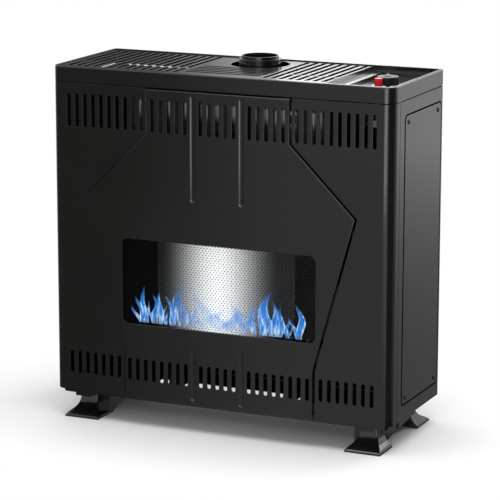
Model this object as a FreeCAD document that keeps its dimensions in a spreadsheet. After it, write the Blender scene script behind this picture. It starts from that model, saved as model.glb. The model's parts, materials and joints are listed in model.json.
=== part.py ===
"""Free-standing flued gas heater, built from its separate pieces.

Millimetres, +Z up, the front faces -Y. The origin is on the floor under the middle of the heater.
The sheet named Sizes drives every piece; the values below are worked out from its cells.
"""
import FreeCAD, Part
import math
import os
import Sketcher

# Driving dimensions, by piece
SIZES = {
    # Casing as a whole
    "body_width": 700, "body_depth": 267, "body_top": 693, "panel_proud": 5,
    "front_corner": 20, "rear_corner": 10, "sheet": 1.5, "seam": 1.5, "fit": 0.3, "overrun": 5,
    # Top frame
    "band_height": 30, "rim_width": 7, "rim_gauge": 2, "rim_round": 2.4,
    # Top grille
    "grille_slot": 10, "grille_front": 30, "grille_back": 12, "grille_first": 20,
    "right_first": 9.5,
    "slat_left": 90, "slat_right": 66, "slat_land": 10, "slat_front": 49, "slat_pitch": 19.5, "slat_count": 5,
    "flue_clear": 57, "flue_from_back": 71.5,
    # Control panel
    "control_width": 143, "deck_drop": 10, "recess_depth": 9, "recess_side": 32, "recess_width": 83,
    "recess_front": 26, "recess_back": 23, "recess_round": 6,
    # Front panels
    "head_side": 203.5, "waist_side": 72.2, "hip_side": 154.2,
    "shoulder_drop": 85.5, "waist_drop": 216.5, "hip_rise": 93.7,
    "centre_gap": 3, "centre_gauge": 2, "centre_return": 2.5, "centre_round": 1.6,
    "wing_return": 33,
    # Front slots and pressed beads
    "slot_width": 7.5, "slot_pitch": 17.09, "slot_edge": 36.9,
    "upper_drop": 19.5, "upper_length": 64, "lower_rise": 35.6, "lower_length": 43.6,
    "middle_count": 5, "slot_land": 10,
    "bead_x": 50, "bead_width": 10, "bead_depth": 1.2,
    "bead_top_drop": 4.5, "bead_top_length": 206, "bead_low_rise": 7, "bead_low_length": 105,
    # Window
    "window_margin": 9.6, "window_sill": 147, "window_height": 167, "window_round": 14,
    "glass_lap": 12, "gasket_lip": 1, "gasket_lap": 4, "gasket_gauge": 5, "glass_gauge": 4,
    "frame_lap": 40, "frame_lip": 5, "stud_lap": 30, "stud_inset": 20, "stud_radius": 2.5,
    "nut_radius": 4.5, "nut_height": 3,
    # Side panels and access covers
    "rear_return": 52, "cover_front": 60, "cover_back": 17, "cover_drop": 29.5, "cover_rise": 29.5,
    "cover_round": 9, "cover_gap": 2.5, "cover_proud": 0.5, "cover_edge": 0.9,
    "ledge_out": 4, "ledge_in": 25, "ledge_gauge": 2,
    "cover_screw_side": 17, "cover_screw_end": 12,
    # Screws
    "screw_radius": 2, "screw_head": 4.5, "screw_head_top": 3.2, "screw_head_height": 1.8, "screw_grip": 3,
    # Back panel
    "vent_length": 40, "vent_width": 6, "vent_pitch": 20, "vent_side": 100, "vent_top": 36, "vent_low": 110,
    "back_screw_end": 14, "back_screw_side": 8,
    # Base frame, posts, clips and feet
    "plinth_drop": 8, "plinth_inset": 10, "plinth_wall": 15, "plinth_height": 22,
    "flange_rise": 6, "flange_gauge": 2,
    "post_gauge": 2, "post_leg": 22, "post_side_leg": 24, "post_set": 2,
    "clip_reach": 14, "clip_half": 8, "clip_gauge": 1.5, "clip_low": 14, "clip_high": 40,
    "foot_height": 48, "pad_height": 3, "foot_side": 55, "foot_width": 72, "foot_depth": 66,
    "foot_neck_width": 34, "foot_neck_depth": 28, "foot_neck_set": 37, "foot_lip": 3, "foot_plate": 6,
    "runner_out": 20, "runner_rise": 9, "runner_gap": 6, "runner_gauge": 2.5,
    "bolt_radius": 4, "bolt_head": 6.5, "bolt_head_height": 5,
    # Combustion chamber, its brackets and the exchanger
    "chamber_lap": 24, "chamber_clear": 29.5, "outlet_side": 75, "outlet_set": 40,
    "bracket_side": 105, "bracket_half": 15, "bracket_gauge": 2, "bracket_set": 2, "web_set": 24,
    "exchanger_side": 20, "exchanger_set": 46, "exchanger_wall": 1.5,
    "rib_width": 14, "rib_depth": 14, "rib_margin": 30, "rib_pitch": 34.18, "rib_rise": 12,
    "hood_height": 22, "hood_low_drop": 48,
    # Flue collar
    "flue_bore": 33, "spigot_radius": 36, "collar_radius": 41.5, "flange_radius": 50, "flue_flange": 2,
    "collar_rise": 9, "spigot_rise": 15,
    # Radiant screen
    "screen_side": 82, "screen_bow": 10, "screen_gauge": 1,
    # Burner
    "burner_radius": 7, "burner_set": 8.5, "burner_end": 40, "burner_wall": 22,
    "port_length": 8, "port_width": 3, "port_depth": 3, "port_pitch": 12, "port_margin": 14,
    "venturi_radius": 8, "venturi_bore": 5, "venturi_length": 47,
    "injector_radius": 6, "injector_length": 26, "injector_nose": 2.4, "injector_port": 16,
    # Pilot group
    "pilot_side": 55, "pilot_step": 17, "pilot_set": 31, "pilot_bracket_gauge": 1.5,
    "pilot_bracket_half": 10, "pilot_bracket_end": 10,
    "pilot_radius": 5, "pilot_rise": 18, "pilot_tail": 15, "pilot_collar": 2.5, "pilot_collar_height": 3,
    "probe_radius": 3, "probe_rise": 26, "probe_tail": 20,
    "ceramic_radius": 3.5, "ceramic_rise": 19, "ceramic_tail": 20, "spark_radius": 1, "spark_rise": 27,
    # Gas valve, spindle and knob
    "knob_side": 60, "knob_set": 10, "valve_half": 28, "valve_front": 20.5, "valve_back": 49.5,
    "valve_drop": 32, "valve_height": 40, "valve_boss": 13, "cup_bore": 9.5, "cup_bore_depth": 17,
    "spindle_radius": 4, "spindle_tail": 12, "shoulder_radius": 7, "shoulder_height": 2,
    "shoulder_gap": 0.3,
    "cup_height": 6, "cup_wall_gap": 0.3, "knob_radius": 20.5, "knob_height": 15.5, "knob_lift": 5,
    "knob_round": 1, "flute_count": 30, "flute_radius": 1.1, "cap_radius": 18, "cap_gauge": 1.5,
    "dimple_radius": 7, "dimple_depth": 0.7, "pointer_width": 2.4, "pointer_depth": 0.7, "knob_roof": 4,
    # Igniter and index peg
    "igniter_left": 5.5, "igniter_ahead": 33.5, "button_radius": 7.5, "button_rise": 21, "button_tail": 6,
    "button_round": 1.2, "button_gap": 0.4, "bezel_radius": 11, "bezel_height": 4,
    "igniter_radius": 11, "igniter_length": 56, "igniter_bore_depth": 18,
    "peg_left": 11, "peg_behind": 29.5, "peg_radius": 2.5, "peg_height": 20,
    # Pipes and lead
    "burner_pipe_radius": 4, "burner_pipe_bend": 30, "burner_pipe_rise": 7,
    "supply_radius": 6, "supply_bend": 24, "supply_back": 38, "supply_rise": 20,
    "pilot_pipe_radius": 3, "pilot_bend": 20, "pilot_pipe_drop": 66, "pilot_pipe_side": 46,
    "pilot_pipe_gap": 25,
    "lead_radius": 2.5, "lead_bend": 14, "lead_drop": 16, "lead_side": 70, "lead_gap": 40,
    "probe_lead_radius": 1.5, "probe_lead_bend": 20, "probe_lead_drop": 51, "probe_lead_side": 58,
    "probe_lead_gap": 32,
    # Gas inlet
    "inlet_side": 100, "inlet_rise": 54, "inlet_radius": 10.5, "inlet_bore": 7, "inlet_end": 2,
    "inlet_hex": 15, "inlet_tail": 16,
    "cup_half": 32, "cup_depth": 25, "cup_gauge": 2, "hatch_half": 28, "hatch_round": 6,
}
# Shares of the size that each one follows
FOOT_LEVEL_SHARES = (0.0, 0.09, 0.32, 0.62, 1.0)
FOOT_SPREAD_SHARES = (1.0, 0.86, 0.34, 0.1, 0.0)

doc = FreeCAD.newDocument("GasHeater")
sheet = doc.addObject("Spreadsheet::Sheet", "Sizes")
for row_number, (alias, number) in enumerate(SIZES.items(), start=1):
    sheet.set(f"A{row_number}", alias)
    sheet.set(f"B{row_number}", str(number))
    sheet.setAlias(f"B{row_number}", alias)
doc.recompute()


class Size:
    """A length that carries its number and the sheet expression that gives it."""

    def __init__(self, value, text):
        self.value = value
        self.text = text

    def __add__(self, other):
        other = as_size(other)
        return Size(self.value + other.value, f"({self.text} + {other.text})")

    def __sub__(self, other):
        other = as_size(other)
        return Size(self.value - other.value, f"({self.text} - {other.text})")

    def __mul__(self, other):
        other = as_size(other)
        return Size(self.value * other.value, f"({self.text} * {other.text})")

    def __truediv__(self, other):
        other = as_size(other)
        return Size(self.value / other.value, f"({self.text} / {other.text})")

    def __neg__(self):
        return Size(-self.value, f"(-{self.text})")

    __radd__ = __add__
    __rmul__ = __mul__


def as_size(thing):
    return thing if isinstance(thing, Size) else Size(float(thing), repr(float(thing)))


def copies(room, pitch):
    """How many copies stand in a row, one at each end of the room and one at each pitch between."""
    steps = room / pitch
    return Size(math.floor(steps.value), f"floor({steps.text})") + 1


class Sizes:
    """The sheet's cells, read by their aliases."""

    def __getattr__(self, alias):
        return Size(float(sheet.get(alias)), f"Sizes.{alias}")


S = Sizes()
NODES = {}
RIGHT, LEFT = 1, -1
SIDES = {"left": LEFT, "right": RIGHT}

# Levels and planes that several pieces share
zero = as_size(0)
half = S.body_width / 2
head_half, waist_half, hip_half = half - S.head_side, half - S.waist_side, half - S.hip_side
front = (S.panel_proud - S.body_depth) / 2
back = (S.panel_proud + S.body_depth) / 2
centre_front = front - S.panel_proud
panel_low = S.foot_height + S.plinth_drop
band_low = S.body_top - S.band_height
panel_high = band_low - S.seam
centre_high = band_low - S.centre_gap
rim_under = S.body_top - S.rim_gauge
deck_top = S.body_top - S.deck_drop
deck_low = deck_top - S.sheet
recess_floor = deck_top - S.recess_depth
recess_low = recess_floor - S.sheet
plinth_top = S.foot_height + S.plinth_height
flue_y = back - S.flue_from_back
window_low = panel_low + S.window_sill
hip_high = panel_low + S.hip_rise
waist_high = panel_high - S.waist_drop
sill_share = (window_low - hip_high) / (waist_high - hip_high)
window_half = hip_half + (waist_half - hip_half) * sill_share - S.window_margin
window_high = window_low + S.window_height
window_back = centre_front + S.centre_gauge
glass_front = window_back + S.gasket_gauge
glass_back = glass_front + S.glass_gauge
frame_back = glass_back + S.sheet
chamber_half = window_half + S.chamber_lap
chamber_low = window_low - S.chamber_lap
chamber_high = window_high + S.chamber_lap
chamber_floor = chamber_low + S.sheet
chamber_back = back - S.chamber_clear
exchanger_half = chamber_half - S.exchanger_side
screen_half = chamber_half - S.screen_side
burner_left, burner_right = chamber_half - S.burner_end, chamber_half - S.burner_wall
hood_low = S.body_top - S.hood_low_drop
hood_high = hood_low + S.hood_height
exchanger_front = frame_back + S.exchanger_set
control_left = half - S.control_width
recess_right = half - S.recess_side
recess_left = recess_right - S.recess_width
knob_x = half - S.knob_side
knob_y = (front + back) / 2 - S.knob_set
igniter_x = knob_x - S.igniter_left
igniter_y = knob_y - S.igniter_ahead
burner_y = frame_back + S.burner_set
burner_z = chamber_floor + S.venturi_radius + S.fit
inlet_x = half - S.inlet_side
inlet_z = panel_low + S.inlet_rise
cover_y = (front + S.cover_front, back - S.cover_back)
cover_z = (panel_low + S.cover_rise, panel_high - S.cover_drop)


def keep(node, made):
    """Give a finished piece the name of its node."""
    made.Label = node
    NODES[node] = made
    return made


def bind(made, **links):
    for name, length in links.items():
        made.setExpression(name, length.text)


def place(made, x=zero, y=zero, z=zero):
    for name, length in (("x", x), ("y", y), ("z", z)):
        made.setExpression(f"Placement.Base.{name}", length.text)
    return made


# Sketched outlines: an edge is its two ends, and an arc's centre and a point on it too

def polygon(corners):
    """Edges of a closed outline. A corner with a third value is rounded where square edges meet."""
    ends = []
    count = len(corners)
    for index, corner in enumerate(corners):
        before, after = corners[index - 1], corners[(index + 1) % count]
        if len(corner) == 2:
            ends.append((corner, corner, None))
            continue
        u, v, radius = corner
        arrive = step_towards((u, v), before, radius)
        leave = step_towards((u, v), after, radius)
        along_u = abs(before[1].value - v.value) < abs(before[0].value - u.value)
        centre = (arrive[0], leave[1]) if along_u else (leave[0], arrive[1])
        ends.append((arrive, leave, centre))
    edges = []
    for index, (arrive, leave, centre) in enumerate(ends):
        if centre:
            edges.append(arc(arrive, leave, centre))
        edges.append((leave, ends[(index + 1) % count][0], None, None))
    return edges


def step_towards(start, target, distance):
    """A point at a distance from start, along the square edge that leads to target."""
    du, dv = target[0].value - start[0].value, target[1].value - start[1].value
    if abs(du) > abs(dv):
        return (start[0] + distance * math.copysign(1, du), start[1])
    return (start[0], start[1] + distance * math.copysign(1, dv))


def arc(start, end, centre, towards=None):
    """An arc's edge; its middle lies on the side of the chord away from its centre."""
    cu, cv = centre[0].value, centre[1].value
    radius = math.dist((start[0].value, start[1].value), (cu, cv))
    mid_u = (start[0].value + end[0].value) / 2 - cu
    mid_v = (start[1].value + end[1].value) / 2 - cv
    if towards:
        mid_u, mid_v = towards
    reach = radius / math.hypot(mid_u, mid_v)
    return (start, end, centre, (cu + mid_u * reach, cv + mid_v * reach))


def rectangle(u, v, radius=None):
    corners = [(u[0], v[0]), (u[1], v[0]), (u[1], v[1]), (u[0], v[1])]
    return polygon([corner + (radius,) if radius else corner for corner in corners])


def upright_slot(u, v, width):
    """A slot with round ends: its middle line is at u and it runs from v[0] to v[1]."""
    reach = width / 2
    low, high = v[0] + reach, v[1] - reach
    left, right = u - reach, u + reach
    return [((right, low), (right, high), None, None),
            arc((right, high), (left, high), (u, high), (0, 1)),
            ((left, high), (left, low), None, None),
            arc((left, low), (right, low), (u, low), (0, -1))]


def level_slot(u, v, width):
    reach = width / 2
    left, right = u[0] + reach, u[1] - reach
    low, high = v - reach, v + reach
    return [((left, low), (right, low), None, None),
            arc((right, low), (right, high), (right, v), (1, 0)),
            ((right, high), (left, high), None, None),
            arc((left, high), (left, low), (left, v), (-1, 0))]


def grown(u, v, by):
    """The same rectangle, larger by the given width on all sides."""
    return (u[0] - by, u[1] + by), (v[0] - by, v[1] + by)


# PartDesign features on a body's own origin planes

def new_body(node):
    return keep(node, doc.addObject("PartDesign::Body", f"{node}_body"))


def origin_of(body, role):
    return next(item for item in body.Origin.OriginFeatures if item.Role == role)


def draw(body, plane, level, *loops):
    """A sketch at a level along X, Y or Z, with every end and centre bound to the sheet."""
    sketch = body.newObject("Sketcher::SketchObject", "Outline")
    sketch.AttachmentSupport = [(origin_of(body, plane), "")]
    sketch.MapMode = "FlatFace"
    bind(sketch, **{"AttachmentOffset.Base.z": -level if plane == "XZ_Plane" else level})
    for loop in loops:
        if isinstance(loop[0], Size):
            draw_circle(sketch, *loop)
        else:
            draw_loop(sketch, loop)
    return sketch


def draw_circle(sketch, u, v, radius):
    centre = FreeCAD.Vector(u.value, v.value, 0)
    item = sketch.addGeometry(Part.Circle(centre, FreeCAD.Vector(0, 0, 1), radius.value))
    hold(sketch, Sketcher.Constraint("Radius", item, radius.value), radius)
    pin(sketch, item, 3, (u, v))


def draw_loop(sketch, edges):
    first = last = None
    for start, end, centre, middle in edges:
        a = FreeCAD.Vector(start[0].value, start[1].value, 0)
        b = FreeCAD.Vector(end[0].value, end[1].value, 0)
        if centre is None:
            item = sketch.addGeometry(Part.LineSegment(a, b))
        else:
            item = sketch.addGeometry(Part.Arc(a, FreeCAD.Vector(*middle, 0), b))
            same_v = abs(start[1].value - end[1].value) < abs(start[0].value - end[0].value)
            pin(sketch, item, 3, (None, centre[1]) if same_v else (centre[0], None))
        near, far = (sketch.getPoint(item, point).distanceToPoint(a) for point in (1, 2))
        begins = 1 if near < far else 2
        pin(sketch, item, begins, start)
        if last:
            sketch.addConstraint(Sketcher.Constraint("Coincident", *last, item, begins))
        first = first or (item, begins)
        last = (item, 3 - begins)
    sketch.addConstraint(Sketcher.Constraint("Coincident", *last, *first))


def pin(sketch, item, point, target):
    for kind, length in zip(("DistanceX", "DistanceY"), target):
        if length is not None:
            hold(sketch, Sketcher.Constraint(kind, -1, 1, item, point, length.value), length)


def hold(sketch, constraint, length):
    sketch.setExpression(f"Constraints[{sketch.addConstraint(constraint)}]", length.text)


def pad(body, sketch, length, backwards=False):
    made = body.newObject("PartDesign::Pad", "Pad")
    made.Profile = sketch
    made.Reversed = backwards
    bind(made, Length=length)
    return made


def pocket(body, sketch, length=None, backwards=False):
    """Cut to a depth, or right through where no depth is given."""
    made = body.newObject("PartDesign::Pocket", "Pocket")
    made.Profile = sketch
    made.Reversed = backwards
    if length is None:
        made.Type = "ThroughAll"
    else:
        bind(made, Length=length)
    return made


def repeat(body, feature, axis, pitch, count, backwards=False):
    made = body.newObject("PartDesign::LinearPattern", "Row")
    made.Originals = [feature]
    made.Direction = (origin_of(body, axis), [""])
    made.Reversed = backwards
    bind(made, Length=pitch * (count - 1), Occurrences=count)
    body.Tip = made
    return made


def round_edges(body, radius, chosen):
    """Round the edges of the body so far that the test chooses by their box."""
    doc.recompute()
    tip = body.Tip
    edges = enumerate(tip.Shape.Edges, start=1)
    names = [f"Edge{number}" for number, edge in edges if chosen(edge.BoundBox)]
    made = body.newObject("PartDesign::Fillet", "Round")
    made.Base = (tip, names)
    bind(made, Radius=radius)
    return made


def lies_at(low, high, level):
    """True where a box's two ends along one axis are both at a level."""
    return max(abs(low - level.value), abs(high - level.value)) < S.fit.value / 2


# Part primitives and booleans

TURNS = {
    "X": FreeCAD.Rotation(FreeCAD.Vector(0, 1, 0), 90),
    "-X": FreeCAD.Rotation(FreeCAD.Vector(0, 1, 0), -90),
    "Y": FreeCAD.Rotation(FreeCAD.Vector(1, 0, 0), -90),
    "-Y": FreeCAD.Rotation(FreeCAD.Vector(1, 0, 0), 90),
    "Z": FreeCAD.Rotation(),
    "-Z": FreeCAD.Rotation(FreeCAD.Vector(1, 0, 0), 180),
}


def block(x, y, z):
    made = doc.addObject("Part::Box", "Block")
    bind(made, Length=x[1] - x[0], Width=y[1] - y[0], Height=z[1] - z[0])
    return place(made, x[0], y[0], z[0])


def rod(axis, start, radius, length):
    made = doc.addObject("Part::Cylinder", "Rod")
    made.Placement = FreeCAD.Placement(FreeCAD.Vector(), TURNS[axis])
    bind(made, Radius=radius, Height=length)
    return place(made, *start)


def cone(axis, start, low_radius, high_radius, length):
    made = doc.addObject("Part::Cone", "Taper")
    made.Placement = FreeCAD.Placement(FreeCAD.Vector(), TURNS[axis])
    bind(made, Radius1=low_radius, Radius2=high_radius, Height=length)
    return place(made, *start)


def join(*pieces):
    made = doc.addObject("Part::MultiFuse", "Join")
    made.Shapes = list(pieces)
    made.Refine = True
    return made


def cut(base, *tools):
    made = doc.addObject("Part::Cut", "Cut")
    made.Base = base
    made.Tool = tools[0] if len(tools) == 1 else group(*tools)
    return made


def group(*pieces):
    made = doc.addObject("Part::Compound", "Group")
    made.Links = list(pieces)
    return made


def tube_along(node, points, radius, bend):
    """A bent pipe: straight runs with an arc of one radius at each inner point."""
    spots = [FreeCAD.Vector(*(length.value for length in point)) for point in points]
    edges = []
    here = spots[0]
    for before, corner, after in zip(spots, spots[1:], spots[2:]):
        into = (before - corner).normalize()
        out = (after - corner).normalize()
        half_turn = (math.pi - into.getAngle(out)) / 2
        reach = bend.value * math.tan(half_turn)
        leave, arrive = corner + into * reach, corner + out * reach
        inward = (into + out).normalize()
        middle = corner + inward * (bend.value / math.cos(half_turn) - bend.value)
        edges.append(Part.LineSegment(here, leave).toShape())
        edges.append(Part.Arc(leave, middle, arrive).toShape())
        here = arrive
    edges.append(Part.LineSegment(here, spots[-1]).toShape())
    spine = Part.Wire(edges)
    section = Part.Wire(Part.Circle(spots[0], spots[1] - spots[0], radius.value).toShape())
    solid = spine.makePipeShell([section], True, False)
    expected = math.pi * radius.value ** 2 * spine.Length
    if not math.isclose(solid.Volume, expected, rel_tol=0.01):
        raise RuntimeError(f"{node}: the pipe's volume is not its section times its length")
    made = doc.addObject("Part::Feature", f"{node}_pipe")
    made.Shape = solid
    return keep(node, made)


# Casing

def top_frame():
    """Folded band with an inward rim round the top."""
    body = new_body("top_frame")

    def ring(inset):
        reach, low, high = half - inset, front + inset, back - inset
        front_round, rear_round = S.front_corner - inset, S.rear_corner - inset
        return polygon([(-reach, low, front_round), (reach, low, front_round),
                        (reach, high, rear_round), (-reach, high, rear_round)])

    pad(body, draw(body, "XY_Plane", band_low, ring(zero)), S.band_height)
    round_edges(body, S.rim_round, lambda box: lies_at(box.ZMin, box.ZMax, S.body_top))
    pocket(body, draw(body, "XY_Plane", band_low, ring(S.sheet)), S.band_height - S.rim_gauge, backwards=True)
    pocket(body, draw(body, "XY_Plane", S.body_top, ring(S.rim_width)))


def top_grille():
    """Slotted plate under the rim, with slats before the flue hole."""
    body = new_body("top_grille")
    inset = S.sheet + S.fit
    low, right = -half + inset, control_left - S.fit
    outline = polygon([
        (low, front + inset, S.front_corner - inset), (right, front + inset),
        (right, back - inset), (low, back - inset, S.rear_corner - inset)])
    pad(body, draw(body, "XY_Plane", rim_under - S.sheet, outline), S.sheet)
    run = (front + S.grille_front, back - S.grille_back)

    def slots(first_x, count, backwards):
        sketch = draw(body, "XY_Plane", rim_under, upright_slot(first_x, run, S.grille_slot))
        repeat(body, pocket(body, sketch), "X_Axis", S.slot_pitch, count, backwards)

    left_room = half - S.grille_first - S.slat_left - S.slat_land
    slots(-half + S.grille_first, copies(left_room, S.slot_pitch), False)
    right_room = control_left - S.right_first - S.slat_right - S.slat_land
    slots(control_left - S.right_first, copies(right_room, S.slot_pitch), True)
    slat = level_slot((-S.slat_left, S.slat_right), front + S.slat_front, S.grille_slot)
    repeat(body, pocket(body, draw(body, "XY_Plane", rim_under, slat)), "Y_Axis", S.slat_pitch, S.slat_count)
    pocket(body, draw(body, "XY_Plane", rim_under, (zero, flue_y, S.flue_clear)))


def control_panel():
    """Sunk deck at the right of the top, with the finger recess for the controls."""
    body = new_body("control_panel")
    inset = S.sheet + S.fit

    def deck(by):
        right, low, high = half - inset - by, front + inset + by, back - inset - by
        return polygon([
            (control_left + by, low), (right, low, S.front_corner - inset - by),
            (right, high, S.rear_corner - inset - by), (control_left + by, high)])

    pan_x = (recess_left, recess_right)
    pan_y = (front + S.recess_front, back - S.recess_back)
    pad(body, draw(body, "XY_Plane", deck_low, deck(zero)), rim_under - deck_low)
    pocket(body, draw(body, "XY_Plane", rim_under, deck(S.sheet)), rim_under - deck_top)
    pan = rectangle(*grown(pan_x, pan_y, S.sheet), S.recess_round + S.sheet)
    pad(body, draw(body, "XY_Plane", deck_low, pan), deck_low - recess_low, backwards=True)
    pocket(body, draw(body, "XY_Plane", deck_top, rectangle(pan_x, pan_y, S.recess_round)), S.recess_depth)
    holes = ((knob_x, knob_y, S.spindle_radius + S.button_gap),
             (igniter_x, igniter_y, S.button_radius + S.button_gap))
    pocket(body, draw(body, "XY_Plane", recess_floor, *holes))


def centre_outline(side_grow, low, high):
    """Six-sided outline of the raised centre panel, wider at each side by a margin."""
    right = [(hip_half, low), (hip_half, hip_high), (waist_half, waist_high),
             (head_half, panel_high - S.shoulder_drop), (head_half, high)]
    grown_right = [(u + side_grow, v) for u, v in right]
    return grown_right + [(-u, v) for u, v in reversed(grown_right)]


def front_centre_panel():
    """Raised front panel: a tray with slots, pressed beads and the window opening."""
    body = new_body("front_centre_panel")
    outer = polygon(centre_outline(zero, panel_low, centre_high))
    fold = S.centre_return
    inner = polygon(centre_outline(-fold, panel_low + fold, centre_high - fold))
    pad(body, draw(body, "XZ_Plane", centre_front, outer), S.panel_proud, backwards=True)
    round_edges(body, S.centre_round, lambda box: lies_at(box.YMin, box.YMax, centre_front))
    pocket(body, draw(body, "XZ_Plane", front, inner), S.panel_proud - S.centre_gauge, backwards=True)
    opening = rectangle((-window_half, window_half), (window_low, window_high), S.window_round)
    pocket(body, draw(body, "XZ_Plane", centre_front, opening))
    upper, lower = slot_rows()
    middle = -S.slot_pitch * (S.middle_count - 1) / 2
    inner_first = S.bead_x * 2 + middle
    for run, edge in ((upper, head_half), (lower, hip_half)):
        count = copies(edge - S.slot_land - inner_first, S.slot_pitch)
        front_slots(body, centre_front, middle, run, S.middle_count, False)
        front_slots(body, centre_front, inner_first, run, count, False)
        front_slots(body, centre_front, -inner_first, run, count, True)
    bead_high = centre_high - S.bead_top_drop
    bead_low = panel_low + S.bead_low_rise
    beads = [upright_slot(S.bead_x * side, run, S.bead_width) for side in (LEFT, RIGHT) for run in (
        (bead_high - S.bead_top_length, bead_high), (bead_low, bead_low + S.bead_low_length))]
    pocket(body, draw(body, "XZ_Plane", centre_front, *beads), S.bead_depth)


def slot_rows():
    upper = panel_high - S.upper_drop
    lower = panel_low + S.lower_rise
    return (upper - S.upper_length, upper), (lower, lower + S.lower_length)


def front_slots(body, level, first_x, run, count, backwards):
    sketch = draw(body, "XZ_Plane", level, upright_slot(first_x, run, S.slot_width))
    repeat(body, pocket(body, sketch), "X_Axis", S.slot_pitch, count, backwards)


def front_wing(name, side):
    """Front panel beside the centre, wrapped round the corner on to the side."""
    body = new_body(f"front_{name}_wing")
    profile = polygon([
        (head_half * side, front), (half * side, front, S.front_corner),
        (half * side, front + S.wing_return), ((half - S.sheet) * side, front + S.wing_return),
        ((half - S.sheet) * side, front + S.sheet, S.front_corner - S.sheet),
        (head_half * side, front + S.sheet)])
    pad(body, draw(body, "XY_Plane", panel_low, profile), panel_high - panel_low)
    clear = centre_outline(S.centre_gap, panel_low - S.overrun, panel_high + S.overrun)
    pocket(body, draw(body, "XZ_Plane", front, polygon(clear)))
    last_slot = (half - S.slot_edge) * side
    for run, edge in zip(slot_rows(), (head_half, hip_half)):
        count = copies(half - S.slot_edge - edge - S.slot_land, S.slot_pitch)
        front_slots(body, front, last_slot, run, count, side == RIGHT)


def side_panel(name, side):
    """Side sheet, folded round the rear corner, with a ledge behind the access opening."""
    body = new_body(f"{name}_side_panel")
    side_front = front + S.wing_return + S.seam
    inner = half - S.sheet
    profile = polygon([
        (half * side, side_front), (half * side, back, S.rear_corner), ((half - S.rear_return) * side, back),
        ((half - S.rear_return) * side, back - S.sheet),
        (inner * side, back - S.sheet, S.rear_corner - S.sheet), (inner * side, side_front)])
    pad(body, draw(body, "XY_Plane", panel_low, profile), panel_high - panel_low)
    hole = grown(cover_y, cover_z, S.cover_gap)
    opening = rectangle(*hole, S.cover_round + S.cover_gap)
    pocket(body, draw(body, "YZ_Plane", half * side, opening), S.sheet, backwards=side == LEFT)
    ledge = (rectangle(*grown(*hole, S.ledge_out), S.cover_round + S.cover_gap + S.ledge_out),
             rectangle(*grown(cover_y, cover_z, -S.ledge_in), S.cover_round))
    pad(body, draw(body, "YZ_Plane", inner * side, *ledge), S.ledge_gauge, backwards=side == RIGHT)
    holes = [(y, z, S.screw_radius + S.fit) for y, z in cover_screw_places()]
    pocket(body, draw(body, "YZ_Plane", inner * side, *holes), S.ledge_gauge, backwards=side == LEFT)
    holes = [(x, z, S.screw_radius + S.fit) for x, z in back_screw_places() if x.value * side > 0]
    pocket(body, draw(body, "XZ_Plane", back - S.sheet, *holes))


def cover_screw_places():
    return [(y, z) for y in (cover_y[0] + S.cover_screw_side, cover_y[1] - S.cover_screw_side)
            for z in (cover_z[0] + S.cover_screw_end, cover_z[1] - S.cover_screw_end)]


def access_cover(name, side):
    """Pressed cover that stands a little proud of the side, on the ledge."""
    body = new_body(f"{name}_access_cover")
    seat = (half - S.sheet) * side
    face = (half + S.cover_proud) * side
    depth = S.sheet + S.cover_proud
    inward = side == RIGHT
    outline = rectangle(cover_y, cover_z, S.cover_round)
    pad(body, draw(body, "YZ_Plane", seat, outline), depth, backwards=not inward)
    round_edges(body, S.cover_edge, lambda box: lies_at(box.XMin, box.XMax, face))
    hollow = rectangle(*grown(cover_y, cover_z, -S.sheet), S.cover_round - S.sheet)
    pocket(body, draw(body, "YZ_Plane", seat, hollow), S.cover_proud, backwards=inward)
    holes = [(y, z, S.screw_radius + S.fit) for y, z in cover_screw_places()]
    pocket(body, draw(body, "YZ_Plane", face, *holes), backwards=not inward)


def screw(axis, spot, grip):
    """Pan-head screw: the head stands on the spot and the shank runs back from it."""
    opposite = axis[1:] if axis.startswith("-") else f"-{axis}"
    head = cone(axis, spot, S.screw_head, S.screw_head_top, S.screw_head_height)
    return join(head, rod(opposite, spot, S.screw_radius, grip))


def cover_screws():
    grip = S.sheet + S.cover_proud + S.screw_grip
    screws = [screw("X" if side == RIGHT else "-X", ((half + S.cover_proud) * side, y, z), grip)
              for side in SIDES.values() for y, z in cover_screw_places()]
    keep("cover_screws", group(*screws))


def back_panel():
    """Plain back with two rows of vents and a hatch for the gas connection."""
    body = new_body("back_panel")
    reach = half - S.rear_corner - S.post_leg - S.seam
    outer = back - S.sheet
    plate = rectangle((-reach, reach), (panel_low, panel_high))
    pad(body, draw(body, "XZ_Plane", outer - S.sheet, plate), S.sheet, backwards=True)
    vents = copies((reach - S.vent_side) * 2, S.vent_pitch)
    first = -S.vent_pitch * (vents - 1) / 2
    for low in (panel_high - S.vent_top - S.vent_length, panel_low + S.vent_low):
        vent = upright_slot(first, (low, low + S.vent_length), S.vent_width)
        cutter = pocket(body, draw(body, "XZ_Plane", outer - S.sheet, vent))
        repeat(body, cutter, "X_Axis", S.vent_pitch, vents)
    hatch = rectangle((inlet_x - S.hatch_half, inlet_x + S.hatch_half),
                      (inlet_z - S.hatch_half, inlet_z + S.hatch_half), S.hatch_round)
    holes = [(x, z, S.screw_radius + S.fit) for x, z in back_screw_places()]
    pocket(body, draw(body, "XZ_Plane", outer - S.sheet, hatch, *holes))


def back_panel_screws():
    """Screws through the folded rear edges of the sides, into the back panel's lap."""
    inside = back - S.sheet - S.sheet
    screws = [screw("-Y", (x, inside, z), S.sheet + S.sheet) for x, z in back_screw_places()]
    keep("back_panel_screws", group(*screws))


def back_screw_places():
    x = half - S.rear_return + S.back_screw_side
    levels = (panel_low + S.back_screw_end, panel_high - S.back_screw_end)
    return [(x * side, z) for side in SIDES.values() for z in levels]


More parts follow.
